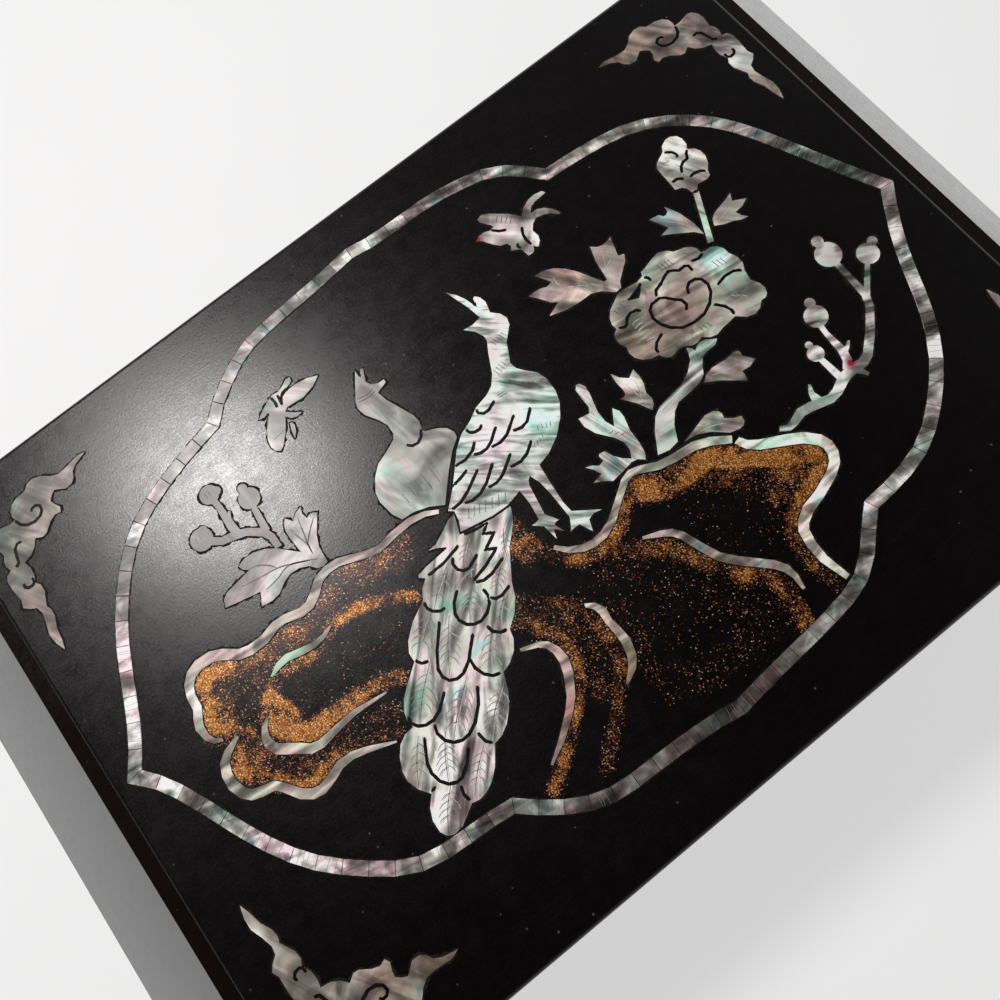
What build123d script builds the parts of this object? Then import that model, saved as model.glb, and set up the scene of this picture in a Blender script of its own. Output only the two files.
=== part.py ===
"""Black lacquer jewelry box inlaid with mother-of-pearl.

A low casket on a bracket plinth. The hinged lid has a flat top panel, upright front and back
and ends that slope outwards down to the rim. Inside are a lift-out tray, a well at each end and
a mirror under the lid. Millimetres: X along the length, Y towards the hinges, Z up, with the
origin on the ground under the middle of the box.
"""
from build123d import *
from math import ceil, cos, hypot, radians, sin, tan
import os

os.makedirs("parts", exist_ok=True)

# Lid sizes
top_length = 280.0        # flat top panel along X
outer_width = 202.4       # top panel, lid and case along Y
top_thickness = 8.0
top_arris = 1.7           # rounding of the top panel's edge
top_proud = 1.6           # step from the panel down to the ledge at each end
end_ledge = 4.3           # flat ledge between the panel and the slope
end_run = 42.0            # how far each end slopes outwards
end_fall = 41.8           # how far it drops on the way
rim_land = 4.6            # upright edge under the slope
lid_board = 9.0
lid_edge = 1.0            # rounding of the lid's slanting corners
scoop_width = 36.0        # thumb scoop under the front rail
scoop_rise = 3.0
scoop_depth = 4.0

# Case sizes
case_board = 10.0
wall_height = 74.8
corner_rebate = 5.0       # how far the end walls are let into the front and back walls
case_edge = 1.5           # rounding of the case's upright corners
bottom_thickness = 6.0
bottom_rebate = 4.0       # how far the bottom board is let into the walls
plinth_height = 12.0
plinth_proud = 4.0        # how far the plinth stands out from the walls
plinth_under = 8.0        # how far it reaches in under them
plinth_edge = 2.5
foot_length = 46.0
foot_arch = 7.0           # height of the opening between the bracket feet
pad_radius = 5.0
pad_thickness = 1.2

# Hinge sizes
hinge_length = 44.0
hinge_spacing = 190.0     # between the middles of the two hinges
hinge_inset = 2.1         # from the back face in to the hinge line
knuckle_radius = 1.9
knuckle_count = 3
knuckle_gap = 0.25
pin_radius = 0.9
pin_clearance = 0.03
pin_head = 0.6
pin_head_radius = 1.3
leaf_width = 5.0
leaf_thickness = 1.3
leaf_gap = 0.1            # from each leaf to the plane between lid and case
leaf_reach = 2.15         # from the hinge line to the near edge of a leaf
hinge_clearance = 0.9     # round the knuckles, in the boards
open_angle = 100.0
stop_play = 0.8           # spare angle before the two bevels meet
screw_head = 1.5
screw_shank = 0.8
screw_length = 5.5
screw_spacing = 22.0      # between the two screws of a leaf

# Lining and fitting sizes
lining = 1.5
lining_below_rim = 3.0
partition = 4.0
well_width = 50.8         # between the lining and the partition at each end
partition_below_rim = 4.0
pad = 3.0
pad_clearance = 0.4
cleat = 6.0
board_lining = 1.5
slope_lining = 1.2
mirror_length = 226.0
mirror_width = 148.0
mirror_thickness = 2.5
frame_border = 11.0
frame_thickness = 6.0
frame_lap = 4.0           # how far the frame covers the mirror's edge
frame_edge = 2.0

# Tray sizes
tray_height = 26.0
tray_board = 4.0
tray_clearance = 0.8      # between the tray and what is round it
tray_below_rim = 3.0
tray_floor_board = 2.5
tray_rebate = 2.0
divider = 3.0
divider_below_rail = 3.0
middle_cell = 73.0        # clear length of the cell between the cross and the short divider
tray_pad = 2.5
thumb_notch_width = 30.0
thumb_notch_depth = 12.0
roll_count = 7
roll_gap = 0.8
roll_end_gap = 0.6
roll_flat = 0.5           # how far each roll is pressed flat on the tray floor

# Inlay sizes
shell = 0.25              # thickness of the shell standing on the lacquer
drawn_length = 280.0      # length of the panel that the inlay drawing is made for
strip_width = 3.7
strip_length = 7.0
strip_joint = 0.3
saw_width = 0.6
cloud_turn = 5.6          # how far the front left cloud is set askew, in degrees
curve_play = 0.16         # how near the short straight runs of a sawn outline keep to its curve

# Places that follow from the sizes
half_width = outer_width / 2
top_half = top_length / 2
rim_half = top_half + end_ledge + end_run
plinth_base = pad_thickness
wall_base = plinth_base + plinth_height
rim = wall_base + wall_height
land_top = rim + rim_land
ledge = land_top + end_fall
lid_top = ledge + top_proud
seat = lid_top - top_thickness
inner_half = rim_half - case_board
inner_width = half_width - case_board
floor = wall_base + bottom_thickness
hinge_line = half_width - hinge_inset
stop_bevel = radians((open_angle + stop_play) / 2)
slope_pitch = end_run / end_fall
slope_shift = hypot(end_run, end_fall) / end_fall

hinge_places = (-hinge_spacing / 2, hinge_spacing / 2)
screw_places = [place + side * screw_spacing / 2 for place in hinge_places for side in (-1, 1)]
screw_line = hinge_line - leaf_reach - leaf_width / 2

nodes = {}


def block(x, y, z):
    """Rectangular board between two X, two Y and two Z values."""
    size = Box(x[1] - x[0], y[1] - y[0], z[1] - z[0])
    return Pos((x[0] + x[1]) / 2, (y[0] + y[1]) / 2, (z[0] + z[1]) / 2) * size


def slab_across(points, y):
    """Board whose XZ outline runs through straight points, between two Y values."""
    face = Plane.XZ * make_face(Polyline(*points, close=True))
    return Pos(0, y[1], 0) * extrude(face, y[1] - y[0])


def edges_along(shape, axis, *tests):
    """Straight edges along an axis whose middle passes every test."""
    found = shape.edges().filter_by(axis)
    for test in tests:
        found = found.filter_by(lambda edge, test=test: test(edge.center()))
    return found


def near(value, target):
    return abs(value - target) < 0.01


# Case walls: the end walls are let into rebates in the front and back walls
def long_wall(side):
    """Front wall for side -1, back wall for side 1."""
    outer, inner = side * half_width, side * inner_width
    wall = block((-rim_half, rim_half), sorted((outer, inner)), (wall_base, rim))
    rebate_floor = side * (half_width - corner_rebate)
    for end in (-1, 1):
        corner = block(sorted((end * inner_half, end * rim_half)), sorted((inner, rebate_floor)), (wall_base, rim))
        wall -= corner
    groove = sorted((inner, side * (inner_width + bottom_rebate)))
    wall -= block((-inner_half, inner_half), groove, (wall_base, floor))
    upright = edges_along(wall, Axis.Z, lambda spot: near(spot.Y, outer))
    return fillet(upright, case_edge)


def end_wall(side):
    reach = half_width - corner_rebate
    wall = block(sorted((side * inner_half, side * rim_half)), (-reach, reach), (wall_base, rim))
    groove = sorted((side * inner_half, side * (inner_half + bottom_rebate)))
    return wall - block(groove, (-reach, reach), (wall_base, floor))


def turned(radius, length, sides=16):
    """Small round bar standing on the XY plane, its roundness cut in flats."""
    return extrude(RegularPolygon(radius, sides), length)


def screw(x, side):
    """Countersunk screw whose head lies flush in its leaf."""
    head = extrude(RegularPolygon(screw_head, 16), screw_head - screw_shank, taper=45)
    turn = Rot(0, 0, 0) if side > 0 else Rot(180, 0, 0)
    return Pos(x, screw_line, rim + side * leaf_gap) * turn * (head + turned(screw_shank, screw_length))


def hinge_room(side):
    """What is cut from the case (side -1) or the lid (side 1) for the hinges and the stop bevel."""
    drop = side * hinge_inset * tan(stop_bevel)
    wedge = Polyline((hinge_line, rim), (half_width + 1, rim), (half_width + 1, rim + drop * (1 + 1 / hinge_inset)),
                     close=True)
    room = Pos(-rim_half - 1, 0, 0) * extrude(Plane.YZ * make_face(wedge), 2 * rim_half + 2)
    around = knuckle_radius + hinge_clearance
    room_half = hinge_length / 2 + pin_head + 0.5
    leaf_far = hinge_line - leaf_reach - leaf_width
    for place in hinge_places:
        room += block((place - room_half, place + room_half), (hinge_line - around, half_width + 1),
                      sorted((rim, rim + side * around)))
        room += block((place - hinge_length / 2, place + hinge_length / 2), (leaf_far, hinge_line),
                      sorted((rim, rim + side * (leaf_gap + leaf_thickness))))
    for x in screw_places:
        room += screw(x, side)
    return room


nodes["case_front_wall"] = long_wall(-1)
nodes["case_back_wall"] = long_wall(1) - hinge_room(-1)
nodes["case_left_wall"] = end_wall(-1)
nodes["case_right_wall"] = end_wall(1)
nodes["case_bottom_board"] = block(
    (-inner_half - bottom_rebate, inner_half + bottom_rebate),
    (-inner_width - bottom_rebate, inner_width + bottom_rebate),
    (wall_base, floor))


# Plinth: four boards with an arched opening between bracket feet, on felt pads
plinth_half = rim_half + plinth_proud
plinth_width = half_width + plinth_proud
plinth_board = plinth_proud + plinth_under


def foot_opening(half_length, reach):
    """Arched opening along X under a plinth board, running past both faces."""
    inner = half_length - foot_length
    low, shoulder, crown = plinth_base, plinth_base + foot_arch * 0.55, plinth_base + foot_arch
    left = [
        Line((-inner, low - 1), (-inner, low)),
        ThreePointArc((-inner, low), (-inner + 2.4, shoulder - 1.2), (-inner + 8, shoulder)),
        ThreePointArc((-inner + 8, shoulder), (-inner + 16, shoulder + 1), (-inner + 24, crown)),
    ]
    right = [edge.mirror(Plane.YZ) for edge in left]
    span = [Line((-inner + 24, crown), (inner - 24, crown)), Line((-inner, low - 1), (inner, low - 1))]
    opening = extrude(Plane.XZ * make_face([*left, *right, *span]), reach, both=True)
    return opening


def plinth_long(side):
    board = block((-plinth_half, plinth_half),
                  sorted((side * plinth_width, side * (plinth_width - plinth_board))), (plinth_base, wall_base))
    outer = side * plinth_width
    corners = edges_along(board, Axis.Z, lambda spot: near(spot.Y, outer))
    board = fillet(corners, plinth_edge)
    outline = board.faces().sort_by(Axis.Z)[-1].edges()
    outline = outline.filter_by(lambda edge: not near(edge.center().Y, side * (plinth_width - plinth_board)))
    board = fillet(outline, plinth_edge)
    return board - Pos(0, outer, 0) * foot_opening(plinth_half, 2 * plinth_board)


def plinth_end(side):
    reach = plinth_width - plinth_board
    board = block(sorted((side * plinth_half, side * (plinth_half - plinth_board))), (-reach, reach),
                  (plinth_base, wall_base))
    outer = side * plinth_half
    top_edge = edges_along(board, Axis.Y, lambda spot: near(spot.X, outer), lambda spot: near(spot.Z, wall_base))
    board = fillet(top_edge, plinth_edge)
    return board - Pos(outer, 0, 0) * Rot(0, 0, 90) * foot_opening(plinth_width, 2 * plinth_board)


nodes["plinth_front"] = plinth_long(-1)
nodes["plinth_back"] = plinth_long(1)
nodes["plinth_left"] = plinth_end(-1)
nodes["plinth_right"] = plinth_end(1)

felt = turned(pad_radius, pad_thickness)
pad_x = plinth_half - foot_length / 2
pad_y = plinth_width - plinth_board / 2
nodes["foot_pads"] = Compound([Pos(x, y, 0) * felt for x in (-pad_x, pad_x) for y in (-pad_y, pad_y)])


# Case lining, partitions, pads and the cleats that carry the tray
lining_top = rim - lining_below_rim
lined_half = inner_half - lining
lined_width = inner_width - lining
partition_top = rim - partition_below_rim
bay_half = lined_half - well_width - partition
partition_middle = bay_half + partition / 2
tray_base = rim - tray_below_rim - tray_height

nodes["case_long_linings"] = Compound([
    block((-inner_half, inner_half), sorted((side * inner_width, side * lined_width)), (floor, lining_top))
    for side in (-1, 1)])
nodes["case_end_linings"] = Compound([
    block(sorted((side * inner_half, side * lined_half)), (-lined_width, lined_width), (floor, lining_top))
    for side in (-1, 1)])
for name, side in (("left", -1), ("right", 1)):
    across = (side * partition_middle - partition / 2, side * partition_middle + partition / 2)
    board = block(across, (-lined_width, lined_width), (floor, partition_top))
    nodes[name + "_partition"] = fillet(edges_along(board, Axis.Y, lambda spot: near(spot.Z, partition_top)),
                                        partition / 2 - 0.5)
nodes["tray_cleats"] = Compound([
    block(sorted((side * bay_half, side * (bay_half - cleat))), (-lined_width, lined_width),
          (tray_base - cleat, tray_base))
    for side in (-1, 1)])


def cushion_pad(x, y, base, thickness):
    """Velvet-covered pad with rounded top edges, a little smaller than its place."""
    low_x, high_x = x[0] + pad_clearance, x[1] - pad_clearance
    low_y, high_y = y[0] + pad_clearance, y[1] - pad_clearance
    body = block((low_x, high_x), (low_y, high_y), (base, base + thickness))
    return fillet(body.faces().sort_by(Axis.Z)[-1].edges(), thickness / 2)


well_inner = partition_middle + partition / 2
nodes["main_floor_pad"] = cushion_pad((-bay_half, bay_half), (-lined_width, lined_width), floor, pad)
nodes["well_floor_pads"] = Compound([
    cushion_pad(sorted((side * well_inner, side * lined_half)), (-lined_width, lined_width), floor, pad)
    for side in (-1, 1)])


# Lid: top panel seated between raised ends, two shaped rails and two sloping ends
def slope_x(height, depth=0.0):
    """Distance from the middle of the sloping end's face, sunk by a depth, at a height."""
    return rim_half - (height - land_top) * slope_pitch - depth * slope_shift


lid_outline = [
    (-rim_half, rim), (rim_half, rim), (rim_half, land_top), (top_half + end_ledge, ledge), (top_half, ledge),
    (top_half, seat), (-top_half, seat), (-top_half, ledge), (-top_half - end_ledge, ledge), (-rim_half, land_top)]


def lid_rail(side):
    face = side * half_width
    rail = slab_across(lid_outline, sorted((face, side * (half_width - lid_board))))
    corners = rail.edges().filter_by(lambda edge: near(edge.center().Y, face))
    corners = corners.filter_by(lambda edge: abs(edge.center().X) > top_half and edge.center().Z > rim + 0.1)
    corners = corners.filter_by(lambda edge: not near(edge.center().Z, (seat + ledge) / 2))
    return fillet(corners, lid_edge)


def lid_end(side):
    points = [
        (rim_half, rim), (rim_half, land_top), (top_half + end_ledge, ledge), (top_half, ledge),
        (top_half, seat), (slope_x(seat, lid_board), seat), (slope_x(rim, lid_board), rim)]
    reach = half_width - lid_board
    return slab_across([(side * x, z) for x, z in points], (-reach, reach))


def thumb_scoop():
    """Shallow cove under the front rail that a thumb lifts by."""
    arc = ThreePointArc((-scoop_width / 2, rim), (0, rim + scoop_rise), (scoop_width / 2, rim))
    chord = Line((-scoop_width / 2, rim), (scoop_width / 2, rim))
    return extrude(Plane.XZ.offset(half_width - scoop_depth) * make_face([arc, chord]), 2 * scoop_depth)


panel = block((-top_half, top_half), (-half_width, half_width), (seat, lid_top))
panel = fillet(panel.faces().sort_by(Axis.Z)[-1].edges(), top_arris)
nodes["lid_top_panel"] = panel
nodes["lid_front_rail"] = lid_rail(-1) - thumb_scoop()
nodes["lid_back_rail"] = lid_rail(1) - hinge_room(1)
nodes["lid_left_end"] = lid_end(-1)
nodes["lid_right_end"] = lid_end(1)


# Lid lining and mirror
rail_inner = half_width - lid_board
board_half = slope_x(seat, lid_board)
lining_under = seat - board_lining
nodes["lid_lining_board"] = block((-board_half, board_half), (-rail_inner, rail_inner), (lining_under, seat))
lined_slope = [(slope_x(height, lid_board), height) for height in (rim + lining_below_rim, lining_under)]
rail_lining_outline = [(-lined_slope[0][0], lined_slope[0][1]), lined_slope[0], lined_slope[1],
                       (-lined_slope[1][0], lined_slope[1][1])]
nodes["lid_rail_linings"] = Compound([
    slab_across(rail_lining_outline, sorted((side * rail_inner, side * (rail_inner - slope_lining))))
    for side in (-1, 1)])
end_lining_outline = lined_slope + [(slope_x(height, lid_board + slope_lining), height)
                                    for height in (lining_under, rim + lining_below_rim)]
lining_reach = rail_inner - slope_lining
nodes["lid_end_linings"] = Compound([
    slab_across([(side * x, z) for x, z in end_lining_outline], (-lining_reach, lining_reach))
    for side in (-1, 1)])

frame_half = mirror_length / 2 - frame_lap + frame_border
frame_width = mirror_width / 2 - frame_lap + frame_border
frame_under = lining_under - frame_thickness
sight_half, sight_width = frame_half - frame_border, frame_width - frame_border
moulding = block((-frame_half, frame_half), (-frame_width, frame_width), (frame_under, lining_under))
moulding = fillet(moulding.faces().sort_by(Axis.Z)[0].edges(), frame_edge)
sight = block((-sight_half, sight_half), (-sight_width, sight_width), (frame_under, lining_under))
moulding -= sight
sight_edges = moulding.faces().sort_by(Axis.Z)[0].inner_wires()[0].edges()
moulding = chamfer(sight_edges, frame_edge)
glass_bed = block((-mirror_length / 2, mirror_length / 2), (-mirror_width / 2, mirror_width / 2),
                  (lining_under - mirror_thickness, lining_under))
nodes["mirror_frame"] = moulding - glass_bed
nodes["lid_mirror"] = glass_bed


# Hinges: knuckles on a headed pin; the boards' bevels stop the lid when it is open
knuckle_length = (hinge_length - (knuckle_count - 1) * knuckle_gap) / knuckle_count


def hinge_leaf(place, side):
    """Leaf let into the case (side -1) or the lid (side 1), with its own share of the knuckles."""
    near_edge = hinge_line - leaf_reach
    levels = sorted((rim + side * leaf_gap, rim + side * (leaf_gap + leaf_thickness)))
    leaf = block((place - hinge_length / 2, place + hinge_length / 2), (near_edge - leaf_width, near_edge), levels)
    own = range(0, knuckle_count, 2) if side < 0 else range(1, knuckle_count, 2)
    for index in own:
        start = place - hinge_length / 2 + index * (knuckle_length + knuckle_gap)
        leaf += block((start, start + knuckle_length), (near_edge, hinge_line), levels)
        leaf += Pos(start + knuckle_length / 2, hinge_line, rim) * Rot(0, 90, 0) * Cylinder(knuckle_radius,
                                                                                          knuckle_length)
    leaf -= Pos(place, hinge_line, rim) * Rot(0, 90, 0) * Cylinder(pin_radius + pin_clearance, hinge_length)
    for x in screw_places:
        leaf -= screw(x, side)
    return leaf


def hinge_pin(place):
    pin = Cylinder(pin_radius, hinge_length)
    pin += Pos(0, 0, hinge_length / 2) * turned(pin_head_radius, pin_head)
    pin += Pos(0, 0, -hinge_length / 2 - pin_head) * turned(pin_head_radius, pin_head)
    return Pos(place, hinge_line, rim) * Rot(0, 90, 0) * pin


for name, place in zip(("left", "right"), hinge_places):
    nodes[name + "_hinge_case_leaf"] = hinge_leaf(place, -1)
    nodes[name + "_hinge_lid_leaf"] = hinge_leaf(place, 1)
    nodes[name + "_hinge_pin"] = hinge_pin(place)
nodes["hinge_case_screws"] = Compound([screw(x, -1) for x in screw_places])
nodes["hinge_lid_screws"] = Compound([screw(x, 1) for x in screw_places])


# Tray: four rails round a let-in floor, lapped dividers, pads and a bank of ring rolls
tray_half = bay_half - tray_clearance
tray_width = lined_width - tray_clearance
tray_top = tray_base + tray_height
tray_in_half = tray_half - tray_board
tray_in_width = tray_width - tray_board
tray_floor_top = tray_base + tray_floor_board
divider_top = tray_top - divider_below_rail


def round_top(board, axis, radius):
    edges = edges_along(board, axis, lambda spot: near(spot.Z, board.bounding_box().max.Z))
    return fillet(edges, radius)


def tray_long_rail(side):
    rail = block((-tray_half, tray_half), sorted((side * tray_width, side * tray_in_width)), (tray_base, tray_top))
    rail = round_top(rail, Axis.X, tray_board / 3)
    groove = sorted((side * tray_in_width, side * (tray_in_width + tray_rebate)))
    return rail - block((-tray_in_half, tray_in_half), groove, (tray_base, tray_floor_top))


def tray_end_rail(side):
    rail = block(sorted((side * tray_half, side * tray_in_half)), (-tray_in_width, tray_in_width),
                 (tray_base, tray_top))
    rail = round_top(rail, Axis.Y, tray_board / 3)
    groove = sorted((side * tray_in_half, side * (tray_in_half + tray_rebate)))
    rail -= block(groove, (-tray_in_width, tray_in_width), (tray_base, tray_floor_top))
    corner = (thumb_notch_width / 2, tray_top + 1)
    arc = ThreePointArc((-corner[0], corner[1]), (0, tray_top - thumb_notch_depth), corner)
    notch = make_face([arc, Line((-corner[0], corner[1]), corner)])
    return rail - extrude(Plane.YZ * notch, 2 * tray_half, both=True)


nodes["tray_front_rail"] = tray_long_rail(-1)
nodes["tray_back_rail"] = tray_long_rail(1)
nodes["tray_left_rail"] = tray_end_rail(-1)
nodes["tray_right_rail"] = tray_end_rail(1)
nodes["tray_floor"] = block((-tray_in_half - tray_rebate, tray_in_half + tray_rebate),
                            (-tray_in_width, tray_in_width), (tray_base, tray_floor_top))
for side in (-1, 1):
    strip = sorted((side * tray_in_width, side * (tray_in_width + tray_rebate)))
    nodes["tray_floor"] += block((-tray_in_half, tray_in_half), strip, (tray_base, tray_floor_top))

lap = (tray_floor_top + divider_top) / 2
cross_span = (middle_cell / 2, middle_cell / 2 + divider)
long_divider = block((-tray_in_half, tray_in_half), (-divider / 2, divider / 2), (tray_floor_top, divider_top))
nodes["tray_long_divider"] = long_divider - block(cross_span, (-divider / 2, divider / 2), (lap, divider_top))
cross_divider = block(cross_span, (-tray_in_width, tray_in_width), (tray_floor_top, divider_top))
nodes["tray_cross_divider"] = cross_divider - block(cross_span, (-divider / 2, divider / 2), (tray_floor_top, lap))
short_span = (-middle_cell / 2 - divider, -middle_cell / 2)
nodes["tray_short_divider"] = block(short_span, (divider / 2, tray_in_width), (tray_floor_top, divider_top))

back_cells = ((-tray_in_half, short_span[0]), (short_span[1], cross_span[0]), (cross_span[1], tray_in_half))
cells = [(span, (divider / 2, tray_in_width)) for span in back_cells]
cells.append((back_cells[2], (-tray_in_width, -divider / 2)))
nodes["tray_pads"] = Compound([cushion_pad(x, y, tray_floor_top, tray_pad) for x, y in cells])

roll_pitch = (tray_in_width - divider / 2) / roll_count
roll_radius = (roll_pitch - roll_gap) / 2
roll_length = tray_in_half + cross_span[0] - 2 * roll_end_gap


def ring_roll(index):
    """Soft roll lying along X, flattened where it lies on the tray floor."""
    start = -tray_in_half + roll_end_gap
    middle_y = -tray_in_width + (index + 0.5) * roll_pitch
    roll = Rot(0, 90, 0) * turned(roll_radius, roll_length, 24)
    roll = Pos(start, middle_y, tray_floor_top + roll_radius - roll_flat) * roll
    under = block((-tray_half, tray_half), (-tray_width, tray_width), (tray_base, tray_floor_top))
    return roll - under


nodes["ring_rolls"] = Compound([ring_roll(index) for index in range(roll_count)])


# Inlay drawing: plates of shell are laid out in the plane of the lid, X and Y from its middle
def saw_steps(line):
    """Places from 0 to 1 along a smooth line for straight saw runs, closer together in its bends."""
    fine = 12 * max(4, ceil(line.length / 4))
    places = [index / fine for index in range(fine + 1)]
    sums = [0.0]
    for start, end in zip(places, places[1:]):
        turn = radians((line % start).get_angle(line % end))
        sums.append(sums[-1] + (line.length / fine * turn / (8 * curve_play)) ** 0.5)
    count = max(1, ceil(sums[-1]))
    steps = [places[sum(value < sums[-1] * number / count for value in sums)] for number in range(1, count)]
    return [0.0, *steps, 1.0]


def plate(*stretches):
    """Face inside smooth stretches that meet at corners; each starts where the last one ended."""
    start = here = Vector(*stretches[0][0])
    outline = [here]
    for stretch in (stretches[0][1:], *stretches[1:-1], [*stretches[-1], start]):
        if len(stretch) == 1:
            outline.append(Vector(*stretch[0]))
        if len(stretch) > 1:
            line = Spline(here, *stretch)
            outline += [line @ along for along in saw_steps(line)[1:]]
        here = outline[-1]
    return make_face(Polyline(*outline[:-1], close=True))


def stroke(points, *widths):
    """Band along a smooth line, its width passing evenly through the given values."""
    line = Spline(*points)
    left, right = [], []
    for along in saw_steps(line):
        spot, heading = line @ along, line % along
        place = along * (len(widths) - 1)
        first = min(int(place), max(len(widths) - 2, 0))
        last = min(first + 1, len(widths) - 1)
        half = (widths[first] + (widths[last] - widths[first]) * (place - first)) / 2
        side = Vector(-heading.Y, heading.X) * half
        left.append(spot + side)
        right.insert(0, spot - side)
    return make_face(Polyline(*left, *right, close=True))


def sawn(face, *cuts):
    """Plate with narrow saw cuts along smooth lines."""
    for cut in cuts:
        face -= stroke(cut, saw_width)
    return face


def laid(*faces):
    """Shell plates lying on the lid's lacquered top, drawn to the panel's length."""
    share = top_length / drawn_length
    plates = [Pos(0, 0, lid_top) * extrude(scale(face, share), shell) for face in faces]
    return Compound([solid for piece in plates for solid in piece.solids()])


# Border: eight bowed runs of short strips that meet in cusps, in order round the panel
border_runs = [
    [(-133.0, 0.2), (-124.3, 15.3), (-117.3, 31.1), (-107.7, 45.8), (-96.4, 56.4), (-85, 61.8), (-74, 65.1),
     (-62.2, 67.8)],
    [(-62.2, 67.8), (-57.9, 71.9), (-52.3, 75.8), (-42.8, 80.7), (-30, 83), (-20, 83.7), (-10, 84.6), (0.2, 85.8)],
    [(0.2, 85.8), (10, 84.4), (20, 84.1), (30, 83.7), (40, 82), (49.6, 78.9), (58.6, 70.8), (61.4, 67.4)],
    [(61.4, 67.4), (70, 66.8), (80, 65.5), (90, 63.1), (99.5, 58), (110.5, 47.5), (118.5, 33), (128.5, 10),
     (133.2, 0.2)],
    [(133.2, 0.2), (127.5, -8), (121.8, -17.9), (114.3, -34.3), (106.4, -46.4), (96, -56), (86, -62),
     (75, -64.6), (64.6, -65.4)],
    [(64.6, -65.4), (58.6, -70.7), (50.7, -77.1), (40, -80), (30, -81), (14.3, -82.2), (3.2, -83.4)],
    [(3.2, -83.4), (-12, -81.4), (-24.3, -80.8), (-38.6, -79.2), (-48.6, -74), (-57.6, -66.6)],
    [(-57.6, -66.6), (-73.6, -65.1), (-85.7, -62.9), (-95.7, -56.4), (-106.4, -46.4), (-114.3, -34.3),
     (-121.8, -17.9), (-127.1, -7.2), (-133.0, 0.2)],
]


def border_strips():
    lines = [Spline(*points) for points in border_runs]
    strips = []
    for number, line in enumerate(lines):
        before, after = lines[number - 1], lines[(number + 1) % len(lines)]
        count = ceil(line.length / strip_length)
        stations = []
        for index in range(count + 1):
            along = index / count
            spot, heading = line @ along, line % along
            if index == 0:
                heading = (heading + before % 1).normalized()
            if index == count:
                heading = (heading + after % 0).normalized()
            stretch = 1 / abs(heading.dot(line % along))
            side = Vector(-heading.Y, heading.X) * (stretch * strip_width / 2)
            stations.append((spot + side, spot - side))
        for first, last in zip(stations, stations[1:]):
            pull = [(last[row] - first[row]).normalized() * (strip_joint / 2) for row in (0, 1)]
            corners = [first[0] + pull[0], last[0] - pull[0], last[1] - pull[1], first[1] + pull[1]]
            strips.append(make_face(Polyline(*corners, close=True)))
    return strips


nodes["inlay_border"] = laid(*border_strips())


# Corner clouds: one drawn shape, mirrored to the four corners; the front left one was laid askew
cloud = sawn(
    plate([(96.5, 85.5), (100, 86), (105, 84.9), (108.5, 85.9)],
          [(111, 88), (114, 88.7), (116.8, 87)],
          [(120, 86.7), (122.5, 85.5), (123.8, 82.8), (123.4, 81.4)],
          [(127, 81.7), (129.8, 82), (131.6, 80.2), (132, 77), (131.4, 74.4)],
          [(132.5, 72), (131.9, 69.4)],
          [(133.6, 68.8), (134.5, 66), (134, 62.5), (134.5, 58)],
          [(133, 56.5), (131.3, 55.5)],
          [(131.1, 51), (132.2, 47.5), (132.1, 44.5), (130.8, 40.7)],
          [(130, 44), (129.6, 47), (128.4, 50), (128.8, 54.2)],
          [(127.4, 57), (126.9, 60), (128, 62)],
          [(126.9, 65), (127.6, 68.8)],
          [(125, 69.5), (122.5, 71.4), (121.5, 73)],
          [(118, 72.2), (115.5, 74.2), (111.5, 74.8)],
          [(111.2, 77), (112.2, 78.8), (111.2, 80.7)],
          [(109, 81.4), (107.5, 80), (105, 79.8), (103.2, 81.2)],
          [(101.8, 83.5), (99, 84.7)]),
    [(123.6, 81.2), (122, 78.2), (119, 77.2), (116.2, 78.2), (115.4, 80.2), (116.8, 81.3), (118.4, 80.4)],
    [(125.2, 74.8), (127, 74.8), (128.3, 72.8), (128.6, 70.6), (130.2, 69.2)],
    [(128, 63.8), (128.8, 61.8), (130.4, 62), (131, 63.8)])
askew_cloud = Pos(-108.5, -63.8) * Rot(0, 0, cloud_turn) * Pos(113.7, 63.1) * mirror(mirror(cloud, Plane.XZ), Plane.YZ)
nodes["inlay_clouds"] = laid(cloud, mirror(cloud, Plane.XZ), mirror(cloud, Plane.YZ), askew_cloud)


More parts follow.
